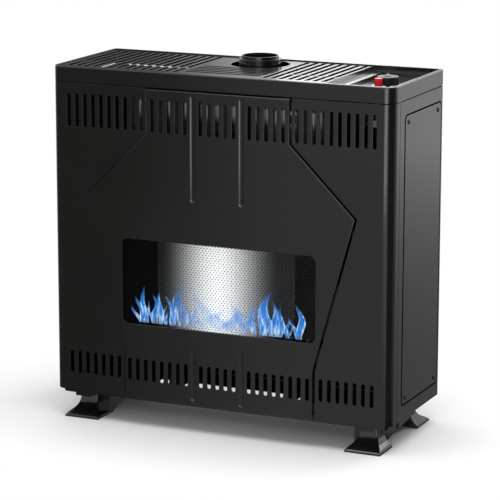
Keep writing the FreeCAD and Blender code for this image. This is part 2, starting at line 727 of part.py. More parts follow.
def base_frame():
    """Open plinth ring, with a flange that reaches out to the panels."""
    body = new_body("base_frame")

    outer_x = (-half + S.plinth_inset, half - S.plinth_inset)
    outer_y = (front + S.plinth_inset, back - S.plinth_inset)
    outer = rectangle(outer_x, outer_y, S.front_corner - S.plinth_inset)
    inner = rectangle(*grown(outer_x, outer_y, -S.plinth_wall), S.recess_round)
    pad(body, draw(body, "XY_Plane", S.foot_height, outer, inner), S.plinth_height)
    inset = S.sheet + S.fit
    reach, low, high = half - inset, front + inset, back - S.sheet - S.sheet
    front_round, rear_round = S.front_corner - inset, S.rear_corner - inset
    flange = polygon([(-reach, low, front_round), (reach, low, front_round),
                      (reach, high, rear_round), (-reach, high, rear_round)])
    pad(body, draw(body, "XY_Plane", panel_low + S.flange_rise, flange, inner), S.flange_gauge)
    holes = [(x, y, S.bolt_radius + S.fit) for x, y in bolt_places()]
    pocket(body, draw(body, "XY_Plane", plinth_top, *holes))


def bolt_places():
    middle = S.plinth_inset + S.plinth_wall / 2
    rows = (front + middle, back - middle)
    return [((half - S.foot_side) * side, y) for side in SIDES.values() for y in rows]


def corner_posts():
    """Folded angles that stand on the base and carry the panels."""
    outer = half - S.sheet
    height = deck_low - plinth_top
    for name, side in SIDES.items():
        body = new_body(f"front_{name}_post")
        low = front + S.front_corner + S.post_set
        angle = [(outer, low), (outer, low + S.post_side_leg), (outer - S.post_gauge, low + S.post_side_leg),
                 (outer - S.post_gauge, low + S.post_gauge), (outer - S.post_leg, low + S.post_gauge),
                 (outer - S.post_leg, low)]
        pad(body, draw(body, "XY_Plane", plinth_top, polygon([(u * side, v) for u, v in angle])), height)
        body = new_body(f"rear_{name}_post")
        right, high = half - S.rear_corner, back - S.sheet
        left = right - S.post_leg
        angle = [(right, high), (left, high), (left, high - S.post_leg),
                 (left + S.post_gauge, high - S.post_leg),
                 (left + S.post_gauge, high - S.post_gauge), (right, high - S.post_gauge)]
        pad(body, draw(body, "XY_Plane", plinth_top, polygon([(u * side, v) for u, v in angle])), height)


def panel_clips():
    """Clips that hold the raised centre panel to the backs of the wings."""
    clips = []
    places = ((head_half, panel_high - S.clip_high), (hip_half, panel_low + S.clip_low + S.clip_half))
    for edge, level in places:
        for side in SIDES.values():
            z = (level - S.clip_half, level + S.clip_half)
            seat = front + S.sheet
            tongue = ordered((edge - S.centre_return) * side, (edge + S.clip_reach) * side)
            step = ordered((edge - S.centre_return) * side, edge * side)
            clips.append(join(block(tongue, (seat, seat + S.clip_gauge), z), block(step, (front, seat), z)))
    keep("panel_clips", group(*clips))


def ordered(a, b):
    return (a, b) if a.value < b.value else (b, a)


def feet():
    """Flared feet on flat pads, each with a plate under the base and a runner to the middle of the depth."""
    pads = []
    neck_half, sole_half = S.foot_neck_width / 2, S.foot_width / 2
    rise = S.foot_height - S.pad_height
    ends = {"front": (front, 1), "rear": (back, -1)}
    for end, (plane, inwards) in ends.items():
        neck_out = plane + S.foot_neck_set * inwards
        neck_in = neck_out + S.foot_neck_depth * inwards
        sole_in = plane + S.foot_depth * inwards
        for name, side in SIDES.items():
            body = new_body(f"{end}_{name}_foot")
            middle = (half - S.foot_side) * side
            sections = []
            for level, spread in zip(FOOT_LEVEL_SHARES, FOOT_SPREAD_SHARES):
                reach = neck_half + (sole_half - neck_half) * spread
                out = neck_out + (plane - neck_out) * spread
                depth = S.foot_neck_depth + (S.foot_depth - S.foot_neck_depth) * spread
                span = ordered(out, out + depth * inwards)
                outline = rectangle((middle - reach, middle + reach), span, S.foot_lip)
                sections.append(draw(body, "XY_Plane", S.pad_height + rise * level, outline))
            loft = body.newObject("PartDesign::AdditiveLoft", "Flare")
            loft.Profile = sections[0]
            loft.Sections = sections[1:]
            plate = rectangle((middle - neck_half, middle + neck_half),
                              ordered(plane + S.plinth_inset * inwards, neck_in))
            pad(body, draw(body, "XY_Plane", S.foot_height - S.foot_plate, plate), S.foot_plate)
            foot_runner(body, side, (neck_out + neck_in) / 2, sole_in, inwards)
            bolt = (middle, plane + (S.plinth_inset + S.plinth_wall / 2) * inwards, S.bolt_radius + S.fit)
            pocket(body, draw(body, "XY_Plane", S.foot_height, bolt), S.foot_plate)
            pads.append(block((middle - sole_half, middle + sole_half), ordered(plane, sole_in),
                              (zero, S.pad_height)))
    keep("foot_pads", group(*pads))


def foot_runner(body, side, root, sole_in, inwards):
    """A channel from a foot's neck to the middle of the depth, with a low arch along its lower edges."""
    inner, outer = half - S.foot_side - S.foot_width / 2, half - S.foot_side + S.runner_out
    end = (front + back) / 2 - S.runner_gap * inwards
    crown = S.pad_height + S.runner_rise
    span = end - sole_in
    arch_radius = (span * span + S.runner_rise * S.runner_rise) / (S.runner_rise * 2)
    profile = [((root, S.foot_height), (end, S.foot_height), None, None),
               ((end, S.foot_height), (end, crown), None, None),
               arc((end, crown), (sole_in, S.pad_height), (end, crown - arch_radius)),
               ((sole_in, S.pad_height), (root, S.pad_height), None, None),
               ((root, S.pad_height), (root, S.foot_height), None, None)]
    pad(body, draw(body, "YZ_Plane", inner * side, profile), outer - inner, backwards=side == LEFT)
    hollow = rectangle(ordered((inner + S.runner_gauge) * side, (outer - S.runner_gauge) * side),
                       ordered(sole_in, end))
    pocket(body, draw(body, "XY_Plane", S.foot_height - S.runner_gauge, hollow))


def foot_bolts():
    bolts = []
    for x, y in bolt_places():
        shank = rod("-Z", (x, y, plinth_top), S.bolt_radius, S.plinth_height + S.foot_plate - S.fit)
        bolts.append(join(shank, rod("Z", (x, y, plinth_top), S.bolt_head, S.bolt_head_height)))
    keep("foot_bolts", group(*bolts))


# Window

def window_plate(node, levels, outer_lap, lip=None, holes=()):
    """A flat piece behind the window opening, solid or with an opening of its own."""
    body = new_body(node)
    opening = ((-window_half, window_half), (window_low, window_high))
    loops = [rectangle(*grown(*opening, outer_lap), S.window_round)]
    if lip is not None:
        loops.append(rectangle(*grown(*opening, lip), S.window_round))
    pad(body, draw(body, "XZ_Plane", levels[0], *loops, *holes), levels[1] - levels[0], backwards=True)


def stud_places():
    rows = ((hip_half - S.stud_inset, window_low - S.stud_lap),
            (window_half + S.stud_lap, window_high + S.stud_lap))
    return [(u, v) for x, v in rows for u in (-x, zero, x)]


def window():
    window_plate("window_gasket", (window_back, glass_front), S.gasket_lap, S.gasket_lip)
    window_plate("window_glass", (glass_front, glass_back), S.glass_lap)
    holes = [(u, v, S.stud_radius + S.fit) for u, v in stud_places()]
    window_plate("glass_frame", (glass_back, frame_back), S.frame_lap, S.frame_lip, holes)
    studs = []
    for x, z in stud_places():
        shank = rod("Y", (x, window_back, z), S.stud_radius, frame_back - window_back)
        studs.append(join(shank, rod("Y", (x, frame_back, z), S.nut_radius, S.nut_height)))
    keep("glass_studs", group(*studs))


# Fire and flue

def pilot_places():
    """Where the pilot, the flame probe and the spark electrode stand, from left to right."""
    y = frame_back + S.pilot_set
    radii = (S.pilot_radius, S.probe_radius, S.ceramic_radius)
    first = chamber_half - S.pilot_side
    return [(first + S.pilot_step * number, y, radius) for number, radius in enumerate(radii)]


def combustion_chamber():
    """Box behind the window, open to the glass, with an outlet in its roof."""
    x, y, z = (-chamber_half, chamber_half), (frame_back, chamber_back), (chamber_low, chamber_high)
    shell = block(x, y, z)
    inner_x, inner_z = grown(x, z, -S.sheet)
    hollow = block(inner_x, (y[0] - S.overrun, y[1] - S.sheet), inner_z)
    outlet = block((-chamber_half + S.outlet_side, chamber_half - S.outlet_side),
                   (exchanger_front + S.outlet_set, chamber_back - S.outlet_set),
                   (z[1] - S.sheet - S.overrun, z[1] + S.overrun))
    mixing_hole = rod("X", (x[1] - S.sheet - S.overrun, burner_y, burner_z), S.venturi_radius + S.fit,
                      S.sheet + S.overrun + S.overrun)
    floor_holes = [rod("Z", (px, py, z[0] - S.overrun), radius + S.fit, S.sheet + S.overrun + S.overrun)
                   for px, py, radius in pilot_places()]
    keep("combustion_chamber", cut(shell, hollow, outlet, mixing_hole, *floor_holes))


def chamber_brackets():
    """Rails across the base that carry the chamber on upright webs."""
    for name, side in SIDES.items():
        middle = (chamber_half - S.bracket_side) * side
        x = (middle - S.bracket_half, middle + S.bracket_half)
        web_x = (middle - S.bracket_gauge / 2, middle + S.bracket_gauge / 2)
        run = (front + S.plinth_inset + S.bracket_set, back - S.plinth_inset - S.bracket_set)
        web_y = (run[0] + S.web_set, run[1] - S.web_set)
        rail = block(x, run, (plinth_top, plinth_top + S.bracket_gauge))
        web = block(web_x, web_y, (plinth_top, chamber_low))
        shelf = block(x, web_y, (chamber_low - S.bracket_gauge, chamber_low))
        keep(f"chamber_bracket_{name}", join(rail, web, shelf))


def heat_exchanger():
    """Open sheet box over the chamber, with pressed ribs down its front."""
    body = new_body("heat_exchanger")
    x, y = (-exchanger_half, exchanger_half), (exchanger_front, chamber_back)
    height = hood_low - chamber_high
    inner = rectangle(*grown(x, y, -S.exchanger_wall))
    pad(body, draw(body, "XY_Plane", chamber_high, rectangle(x, y), inner), height)
    ribs = copies((exchanger_half - S.rib_margin) * 2, S.rib_pitch)
    first = -S.rib_pitch * (ribs - 1) / 2
    rib = rectangle((first - S.rib_width / 2, first + S.rib_width / 2),
                    (chamber_high + S.rib_rise, hood_low - S.rib_rise))
    first_rib = pad(body, draw(body, "XZ_Plane", exchanger_front, rib), S.rib_depth)
    repeat(body, first_rib, "X_Axis", S.rib_pitch, ribs)


def draught_hood():
    """Shallow box that gathers the burnt gas under the flue."""
    x, y = (-exchanger_half, exchanger_half), (exchanger_front, chamber_back)
    shell = block(x, y, (hood_low, hood_high))
    inner_x, inner_y = grown(x, y, -S.sheet)
    hollow = block(inner_x, inner_y, (hood_low - S.overrun, hood_high - S.sheet))
    outlet = rod("Z", (zero, flue_y, hood_low), S.flue_bore + S.flue_flange, S.hood_height + S.overrun)
    keep("draught_hood", cut(shell, hollow, outlet))


def flue_collar():
    """Turned collar with a shoulder and a narrower spigot on top."""
    body = new_body("flue_collar")
    shoulder = S.body_top + S.collar_rise
    top = S.body_top + S.spigot_rise
    profile = polygon([
        (S.flue_bore, hood_high), (S.flange_radius, hood_high), (S.flange_radius, hood_high + S.flue_flange),
        (S.collar_radius, hood_high + S.flue_flange), (S.collar_radius, shoulder),
        (S.spigot_radius, shoulder), (S.spigot_radius, top), (S.flue_bore, top)])
    sketch = draw(body, "XZ_Plane", zero, profile)
    turned = body.newObject("PartDesign::Revolution", "Turned")
    turned.Profile = sketch
    turned.ReferenceAxis = (sketch, ["V_Axis"])
    place(body, y=flue_y)


def radiant_screen():
    """Gently bowed screen that stands behind the flames."""
    body = new_body("radiant_screen")
    apex = burner_y + S.burner_radius + S.fit + S.screen_gauge
    ends = apex + S.screen_bow
    radius = (screen_half * screen_half + S.screen_bow * S.screen_bow) / (S.screen_bow * 2)

    def bow(v):
        return (-screen_half, ends + v), (screen_half, ends + v), (zero, apex + v + radius)

    left, right, centre = bow(zero)
    left_back, right_back, centre_back_face = bow(S.screen_gauge)
    profile = [arc(left, right, centre, (0, -1)), (right, right_back, None, None),
               arc(right_back, left_back, centre_back_face, (0, -1)), (left_back, left, None, None)]
    pad(body, draw(body, "XY_Plane", chamber_floor, profile), chamber_high - S.sheet - chamber_floor)


# Burner and pilot

def burner():
    """Drilled tube under the window's edge, its mixing tube and its injector."""
    body = new_body("burner_tube")
    section = (burner_y, burner_z, S.burner_radius)
    pad(body, draw(body, "YZ_Plane", -burner_left, section), burner_left + burner_right)
    ports = copies((burner_left - S.port_margin) * 2, S.port_pitch)
    first = -S.port_pitch * (ports - 1) / 2
    port = level_slot((first - S.port_length / 2, first + S.port_length / 2), burner_y, S.port_width)
    top = burner_z + S.burner_radius
    first_port = pocket(body, draw(body, "XY_Plane", top, port), S.port_depth)
    repeat(body, first_port, "X_Axis", S.port_pitch, ports)
    mouth = burner_right + S.venturi_length

    def along(axis_x, radius, length):
        return rod("X", (axis_x, burner_y, burner_z), radius, length)

    tube = along(burner_right, S.venturi_radius, S.venturi_length)
    bore = along(mouth - S.injector_port, S.venturi_bore, S.injector_port + S.overrun)
    keep("burner_venturi", cut(tube, bore))
    nose_length = S.injector_port / 2
    nose_at = (mouth - nose_length, burner_y, burner_z)
    nose = cone("X", nose_at, S.injector_nose, S.venturi_bore - S.fit, nose_length)
    keep("burner_injector", join(nose, along(mouth, S.injector_radius, S.injector_length)))


def pilot_group():
    """Pilot, flame probe and spark electrode, seated on one bracket on the chamber floor."""
    places = pilot_places()
    y = places[0][1]
    seat = chamber_floor + S.pilot_bracket_gauge
    plate = block((places[0][0] - S.pilot_bracket_end, places[-1][0] + S.pilot_bracket_end),
                  (y - S.pilot_bracket_half, y + S.pilot_bracket_half), (chamber_floor, seat))
    through = S.pilot_bracket_gauge + S.overrun + S.overrun
    holes = [rod("Z", (x, y, chamber_floor - S.overrun), radius + S.fit, through) for x, y, radius in places]
    keep("pilot_bracket", cut(plate, *holes))

    def standing(place_at, rise, tail):
        x, y, radius = place_at
        stem = rod("Z", (x, y, chamber_low - tail), radius, tail + S.sheet + rise)
        return [stem, rod("Z", (x, y, seat), radius + S.pilot_collar, S.pilot_collar_height)]

    keep("pilot_burner", join(*standing(places[0], S.pilot_rise, S.pilot_tail)))
    keep("thermocouple", join(*standing(places[1], S.probe_rise, S.probe_tail), probe_lead()))
    x, y, _ = places[2]
    tip = rod("Z", (x, y, chamber_floor), S.spark_radius, S.spark_rise)
    keep("spark_electrode", join(*standing(places[2], S.ceramic_rise, S.ceramic_tail), tip))


def probe_lead():
    """The flame probe's thin lead, down from the probe and up to the valve."""
    x, y, _ = pilot_places()[1]
    valve_low = valve_box()[2][0]
    side = half - S.probe_lead_side
    under, over = chamber_low - S.probe_lead_drop, valve_low - S.probe_lead_gap
    lead = tube_along("probe_lead", [
        (x, y, chamber_low - S.probe_tail), (x, y, under), (side, y, under), (side, y, over),
        (side, knob_y, over), (side, knob_y, valve_low)], S.probe_lead_radius, S.probe_lead_bend)
    del NODES["probe_lead"]
    return lead


# Gas valve, knob and igniter

def valve_box():
    x = (knob_x - S.valve_half, knob_x + S.valve_half)
    y = (knob_y - S.valve_front, knob_y + S.valve_back)
    high = recess_low - S.valve_drop
    return x, y, (high - S.valve_height, high)


def gas_valve():
    """Valve block that hangs from the recess by its boss, and the spindle that runs in it."""
    x, y, z = valve_box()
    boss = rod("Z", (knob_x, knob_y, z[1]), S.valve_boss, S.valve_drop)
    counterbore = rod("-Z", (knob_x, knob_y, recess_low + S.fit), S.cup_bore, S.cup_bore_depth + S.fit)
    shaft_depth = S.cup_bore_depth + S.spindle_tail + S.overrun
    shaft = rod("-Z", (knob_x, knob_y, recess_low), S.spindle_radius + S.cup_wall_gap, shaft_depth)
    keep("gas_valve", cut(join(block(x, y, z), boss), counterbore, shaft))
    shoulder_low = recess_low - S.shoulder_gap - S.shoulder_height
    tail = recess_low - S.cup_bore_depth - S.spindle_tail + S.overrun
    knob_low = recess_floor + S.knob_lift
    top = knob_low + S.knob_height - S.knob_roof
    keep("valve_spindle", join(
        rod("Z", (knob_x, knob_y, tail), S.spindle_radius, top - tail),
        rod("Z", (knob_x, knob_y, shoulder_low), S.shoulder_radius, S.shoulder_height)))
    cup_top = shoulder_low - S.shoulder_gap
    ring = rod("-Z", (knob_x, knob_y, cup_top), S.cup_bore - S.cup_wall_gap, S.cup_height)
    hole = rod("-Z", (knob_x, knob_y, cup_top + S.overrun), S.spindle_radius + S.cup_wall_gap,
               S.cup_height + S.overrun + S.overrun)
    keep("spindle_cup", cut(ring, hole))


def control_knob():
    """Fluted knob with a bright cap let into its top."""
    body = new_body("control_knob")
    low = recess_floor + S.knob_lift
    top = low + S.knob_height
    pad(body, draw(body, "XY_Plane", low, (zero, zero, S.knob_radius)), S.knob_height)
    round_edges(body, S.knob_round, lambda box: lies_at(box.ZMin, box.ZMax, top))
    pocket(body, draw(body, "XY_Plane", top, (zero, zero, S.cap_radius)), S.cap_gauge)
    bore = (zero, zero, S.spindle_radius + S.fit)
    pocket(body, draw(body, "XY_Plane", low, bore), S.knob_height - S.knob_roof, backwards=True)
    flute = (S.knob_radius + S.flute_radius / 2, zero, S.flute_radius)
    groove = pocket(body, draw(body, "XY_Plane", top - S.cap_gauge - S.knob_round, flute))
    flutes = body.newObject("PartDesign::PolarPattern", "Flutes")
    flutes.Originals = [groove]
    flutes.Axis = (origin_of(body, "Z_Axis"), [""])
    bind(flutes, Occurrences=S.flute_count)
    body.Tip = flutes
    place(body, knob_x, knob_y)

    cap = new_body("knob_cap")
    pad(cap, draw(cap, "XY_Plane", top - S.cap_gauge, (zero, zero, S.cap_radius - S.fit)), S.cap_gauge)
    pocket(cap, draw(cap, "XY_Plane", top, (zero, zero, S.dimple_radius)), S.dimple_depth)
    reach = (-S.cap_radius, -S.dimple_radius - S.pointer_width)
    pointer = rectangle((-S.pointer_width / 2, S.pointer_width / 2), reach)
    pocket(cap, draw(cap, "XY_Plane", top, pointer), S.pointer_depth)
    place(cap, knob_x, knob_y)


def igniter():
    """Push-button spark generator: button, bezel ring and the body under the recess."""
    button = new_body("igniter_button")
    low = recess_low - S.button_tail
    top = recess_floor + S.button_rise
    pad(button, draw(button, "XY_Plane", low, (zero, zero, S.button_radius)), top - low)
    round_edges(button, S.button_round, lambda box: lies_at(box.ZMin, box.ZMax, top))
    place(button, igniter_x, igniter_y)
    bezel = new_body("igniter_bezel")
    ring = ((zero, zero, S.bezel_radius), (zero, zero, S.button_radius + S.button_gap))
    pad(bezel, draw(bezel, "XY_Plane", recess_floor, *ring), S.bezel_height)
    round_edges(bezel, S.button_round, lambda box: lies_at(box.ZMin, box.ZMax, recess_floor + S.bezel_height)
                and box.XLength > S.bezel_radius.value * 2 - S.fit.value)
    place(bezel, igniter_x, igniter_y)
    case = rod("-Z", (igniter_x, igniter_y, recess_low), S.igniter_radius, S.igniter_length)
    bore = rod("-Z", (igniter_x, igniter_y, recess_low + S.fit), S.button_radius + S.button_gap,
               S.igniter_bore_depth + S.fit)
    keep("igniter_body", cut(case, bore))
    peg_at = (knob_x - S.peg_left, knob_y + S.peg_behind, recess_floor)
    keep("index_peg", rod("Z", peg_at, S.peg_radius, S.peg_height))


# Pipes, lead and gas inlet

def pipes():
    x, y, z = valve_box()
    top_of_injector = burner_z + S.injector_radius
    drop_x = burner_right + S.venturi_length + S.injector_port
    run_z = z[0] + S.burner_pipe_rise
    tube_along("burner_pipe", [
        (drop_x, y[0], run_z), (drop_x, burner_y, run_z), (drop_x, burner_y, top_of_injector)],
        S.burner_pipe_radius, S.burner_pipe_bend)

    px, py, _ = pilot_places()[0]
    side = half - S.pilot_pipe_side
    under, over = chamber_low - S.pilot_pipe_drop, z[0] - S.pilot_pipe_gap
    tube_along("pilot_pipe", [
        (px, py, chamber_low - S.pilot_tail), (px, py, under), (side, py, under), (side, py, over),
        (side, knob_y, over), (side, knob_y, z[0])], S.pilot_pipe_radius, S.pilot_bend)

    ex, ey, _ = pilot_places()[2]
    side = half - S.lead_side
    under, over = chamber_low - S.ceramic_tail - S.lead_drop, recess_low - S.igniter_length - S.lead_gap
    tube_along("ignition_lead", [
        (ex, ey, chamber_low - S.ceramic_tail), (ex, ey, under), (side, ey, under), (side, ey, over),
        (igniter_x, igniter_y, over), (igniter_x, igniter_y, recess_low - S.igniter_length)],
        S.lead_radius, S.lead_bend)

    run_y = back - S.supply_back
    pipe_z = z[0] + S.supply_rise
    tube_along("supply_pipe", [
        (knob_x, y[1], pipe_z), (knob_x, run_y, pipe_z), (knob_x, run_y, inlet_z), (inlet_x, run_y, inlet_z)],
        S.supply_radius, S.supply_bend)


def gas_inlet():
    """Threaded nipple behind the hatch, held by a cup-shaped bracket on the back panel."""
    plate_front = back - S.sheet - S.sheet - S.cup_depth
    run_y = back - S.supply_back
    seat = plate_front
    shoulder = seat + S.cup_gauge
    nipple = join(rod("Y", (inlet_x, shoulder, inlet_z), S.inlet_radius, back - S.inlet_end - shoulder),
                  rod("Y", (inlet_x, seat, inlet_z), S.inlet_radius - S.fit, S.cup_gauge))
    bore = rod("-Y", (inlet_x, back, inlet_z), S.inlet_bore, S.cup_depth)
    hexagon = rod("-Y", (inlet_x, seat, inlet_z), S.inlet_hex, seat - run_y + S.inlet_tail)
    socket = rod("X", (inlet_x, run_y, inlet_z), S.supply_radius + S.fit, S.inlet_hex + S.overrun)
    keep("gas_inlet", cut(join(nipple, hexagon), bore, socket))
    x = (inlet_x - S.cup_half, inlet_x + S.cup_half)
    z = (inlet_z - S.cup_half, inlet_z + S.cup_half)
    y = (plate_front, back - S.sheet - S.sheet)
    plate = block(x, (y[0], y[0] + S.cup_gauge), z)
    cheeks = [block(span, y, z) for span in ((x[0], x[0] + S.cup_gauge), (x[1] - S.cup_gauge, x[1]))]
    through = S.cup_gauge + S.overrun + S.overrun
    hole = rod("Y", (inlet_x, y[0] - S.overrun, inlet_z), S.inlet_radius, through)
    keep("inlet_bracket", cut(join(plate, *cheeks), hole))


def build():
    top_frame()
    top_grille()
    control_panel()
    front_centre_panel()
    for name, side in SIDES.items():
        front_wing(name, side)
        side_panel(name, side)
        access_cover(name, side)
    cover_screws()
    back_panel()
    back_panel_screws()
    base_frame()
    corner_posts()
    panel_clips()
    feet()
    foot_bolts()
    window()
    combustion_chamber()
    chamber_brackets()
    heat_exchanger()
    draught_hood()
    flue_collar()
    radiant_screen()
    burner()
    pilot_group()
    gas_valve()
    control_knob()
    igniter()
    pipes()
    gas_inlet()
    doc.recompute()


def check():
    failed = [item.Label for item in doc.Objects if {"Invalid", "Error"} & set(item.State)]
    bad = [node for node, item in NODES.items() if item.Shape.isNull() or not item.Shape.isValid()]
    if failed or bad:
        raise RuntimeError(f"failed objects: {failed}; bad shapes: {bad}")


build()
check()
os.makedirs("parts", exist_ok=True)
for node, item in NODES.items():
    item.Shape.exportStep(f"parts/{node}.step")
print(f"{len(NODES)} pieces")
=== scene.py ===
"""Looks of a free-standing flued gas heater, laid out as an add-on and run as a script.

Metres, +Z up, the front faces -Y, as in the packed frame.
"""
import json
import math

import bpy
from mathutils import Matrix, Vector


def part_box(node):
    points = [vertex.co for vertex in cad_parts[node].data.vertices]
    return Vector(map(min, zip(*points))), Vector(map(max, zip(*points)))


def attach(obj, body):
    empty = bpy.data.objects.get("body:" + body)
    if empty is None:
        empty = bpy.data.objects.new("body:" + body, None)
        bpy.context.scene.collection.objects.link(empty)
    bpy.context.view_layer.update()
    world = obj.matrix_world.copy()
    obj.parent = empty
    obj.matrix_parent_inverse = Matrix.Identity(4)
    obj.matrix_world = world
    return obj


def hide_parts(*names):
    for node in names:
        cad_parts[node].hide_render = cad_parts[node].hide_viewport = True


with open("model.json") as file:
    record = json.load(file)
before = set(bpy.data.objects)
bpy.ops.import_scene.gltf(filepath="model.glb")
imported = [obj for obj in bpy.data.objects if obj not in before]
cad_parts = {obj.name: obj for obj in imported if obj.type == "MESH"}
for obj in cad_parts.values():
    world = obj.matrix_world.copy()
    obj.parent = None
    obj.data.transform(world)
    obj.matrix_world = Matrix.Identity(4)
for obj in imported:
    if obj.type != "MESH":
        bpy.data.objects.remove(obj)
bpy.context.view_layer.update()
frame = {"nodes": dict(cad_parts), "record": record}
NODES = frame["nodes"]

bl_info = {
    "name": "Gas heater looks",
    "version": (1, 0, 0),
    "blender": (4, 5, 0),
    "location": "3D View > Sidebar > Heater",
    "description": "Finishes, fire window and controls of a flued gas heater",
    "category": "Object",
}

WINDOW_LOW, WINDOW_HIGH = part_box("window_gasket")
BURNER_LOW, BURNER_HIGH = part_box("burner_tube")
SCREEN_LOW, SCREEN_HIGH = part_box("radiant_screen")
QUARTER_TURN = math.radians(90)


def colour(label, about, default):
    return bpy.props.FloatVectorProperty(
        name=label, description=about, subtype="COLOR", size=3, min=0.0, max=1.0, default=default)


def length(label, about, default):
    return bpy.props.FloatProperty(
        name=label, description=about, subtype="DISTANCE", unit="LENGTH", min=0.0, precision=5,
        default=default)


def share(label, about, default):
    return bpy.props.FloatProperty(
        name=label, description=about, subtype="FACTOR", min=0.0, max=1.0, default=default)


def power(label, about, default):
    return bpy.props.FloatProperty(
        name=label, description=about, subtype="POWER", unit="POWER", min=0.0, default=default)


class HeaterFinish(bpy.types.PropertyGroup):
    """Colours of the heater's finishes."""

    enamel: colour("Enamel", "Satin enamel of the casing", (0.0072, 0.0072, 0.0065))
    enamel_worn: colour("Enamel, rubbed", "Enamel where it is rubbed or dusty", (0.009, 0.009, 0.0082))
    deck: colour("Deck enamel", "Enamel of the top grille and the control deck", (0.02, 0.02, 0.0195))
    foot: colour("Feet", "Gloss coating of the feet", (0.006, 0.006, 0.006))
    zinc: colour("Zinc sheet", "Dull galvanised sheet inside the casing", (0.035, 0.035, 0.035))
    # This near-black is also the painted shade on the heat exchanger and on the base's shade sheet
    heat_steel: colour("Heat steel", "Sooted sheet round the fire", (0.005, 0.005, 0.005))
    # Painted reflection: the pale patches on the heat exchanger's upper part
    rib_steel: colour("Rib steel", "Bare steel of the heat exchanger", (0.5, 0.5, 0.49))
    # Pale colour of the screen's middle, a painted highlight; towards its sides the screen is painted
    # near-black as shade
    screen: colour("Radiant screen", "Bright perforated screen behind the flames", (0.78, 0.79, 0.8))
    # Painted glow of the screen's middle, which is no lamp
    glow: colour("Screen glow", "Light of the hot screen", (0.98, 0.97, 0.95))
    brass: colour("Brass", "Machined gas fittings", (0.62, 0.42, 0.16))
    # The copper's dark tone is partly heat patina and partly painted shade, as the pipe lies inside the
    # casing
    copper_patina_and_shade: colour("Copper", "Drawn gas pipe, darkened by heat", (0.035, 0.025, 0.021))
    knob: colour("Knob", "Moulded grip of the control knob", (0.012, 0.012, 0.012))
    cap: colour("Knob cap", "Spun cap of the control knob", (0.26, 0.26, 0.25))
    button: colour("Igniter button", "Moulded push button", (0.78, 0.022, 0.028))
    flame: colour("Flame body", "Blue of the burning gas", (0.01, 0.24, 0.8))
    flame_edge: colour("Flame edge", "Pale rim of each flame", (0.78, 0.94, 1.0))
    floor: colour("Floor", "Pale studio floor", (0.98, 0.98, 0.98))


class HeaterShape(bpy.types.PropertyGroup):
    """Sizes of the pieces that are modelled here."""

    fold_round: length("Fold round", "Rounding of the sheet's cut edges", 0.0006)
    panel_round: length("Panel round", "Rounding of the raised panel's folded outline", 0.0024)
    bead_floor: share("Bead floor", "Width of a pressed bead's floor as a share of its opening", 0.5)
    bead_round: length("Bead round", "Rounding of a pressed bead's edges", 0.0003)
    hole_pitch: length("Hole pitch", "Distance between the screen's holes along a row", 0.0068)
    row_share: share("Row share", "Distance between the screen's rows as a share of the pitch", 0.66)
    hole_share: share("Hole share", "Hole radius as a share of the pitch", 0.41)
    screen_gauge: length("Screen gauge", "Thickness of the screen's sheet", 0.0008)
    flame_depth: length("Flame depth", "Thickness of a flame from front to back", 0.006)
    screw_radius: length("Screw radius", "Radius of a cover screw's head", 0.0045)
    screw_slot: length("Screw cross", "Width of the cross in a screw's head", 0.0012)
    cross_depth: length("Cross depth", "Height of the cross's cutter, which sinks in by half", 0.002)
    hub_radius: length("Hub radius", "Radius of the hub in the knob's cap", 0.0068)
    hub_height: length("Hub height", "Height of the hub in the knob's cap", 0.0012)
    baffle_inset: length("Baffle inset", "How far the base baffle stays inside the base's edge", 0.026)
    baffle_rise: length("Baffle rise", "Height of the base baffle over the base's lower edge", 0.004)
    # The seal round each access cover is a near-black strip of painted shade in the gap
    gap_shade_width: length("Seal width", "Width of the flat seal round an access cover", 0.0034)
    gap_shade_lip: length("Seal lip", "Thickness of the seal's lip on the side panel", 0.0003)
    gap_shade_round: length("Seal round", "Corner radius of the seal round an access cover", 0.0124)


class HeaterStage(bpy.types.PropertyGroup):
    """Camera and light."""

    eye: bpy.props.FloatVectorProperty(
        name="Camera place", description="Where the camera stands", subtype="TRANSLATION", size=3,
        default=(1.9395, -4.3284, 1.3750))
    turn: bpy.props.FloatVectorProperty(
        name="Camera turn", description="The camera's rotation", subtype="EULER", size=3,
        default=(math.radians(77.66), math.radians(-0.08), math.radians(24.07)))
    lens: bpy.props.FloatProperty(
        name="Lens", description="Focal length on a sensor 36 mm wide", subtype="DISTANCE_CAMERA",
        unit="CAMERA", default=181.1)
    key: power("Key light", "Soft light before the heater", 11.0)
    overhead: power("Overhead light", "Wide light over the floor", 124.0)
    side: power("Side light", "Light behind on the right, along the side", 12.0)
    back: power("Back light", "Light behind on the left, along the top", 4.0)
    ambient: share("Ambient", "Even light from all round", 0.42)


def finish():
    return bpy.context.scene.heater_finish


def shape():
    return bpy.context.scene.heater_shape


# Selecting, making and keeping meshes

def select_only(thing):
    bpy.ops.object.select_all(action="DESELECT")
    thing.select_set(True)
    bpy.context.view_layer.objects.active = thing


def start_edit(thing):
    select_only(thing)
    bpy.ops.object.mode_set(mode="EDIT")
    bpy.ops.mesh.select_all(action="SELECT")


def end_edit():
    bpy.ops.object.mode_set(mode="OBJECT")


def pick(thing, kind, elements, wanted):
    """Enter edit mode with only the wanted vertices, edges or faces selected."""
    start_edit(thing)
    bpy.ops.mesh.select_mode(type=kind)
    bpy.ops.mesh.select_all(action="DESELECT")
    end_edit()
    for element in elements:
        element.select = wanted(element)
    bpy.ops.object.mode_set(mode="EDIT")


def new_piece(name):
    """The active object, named, with its place in its mesh."""
    thing = bpy.context.object
    thing.name = thing.data.name = name
    bpy.ops.object.transform_apply(location=True, rotation=True, scale=True)
    return thing


def started(name, form, scale=(1.0, 1.0, 1.0), **values):
    """A new piece from a mesh primitive, with nothing else selected."""
    bpy.ops.object.select_all(action="DESELECT")
    getattr(bpy.ops.mesh, f"primitive_{form}_add")(**values)
    bpy.context.object.scale = scale
    return new_piece(name)


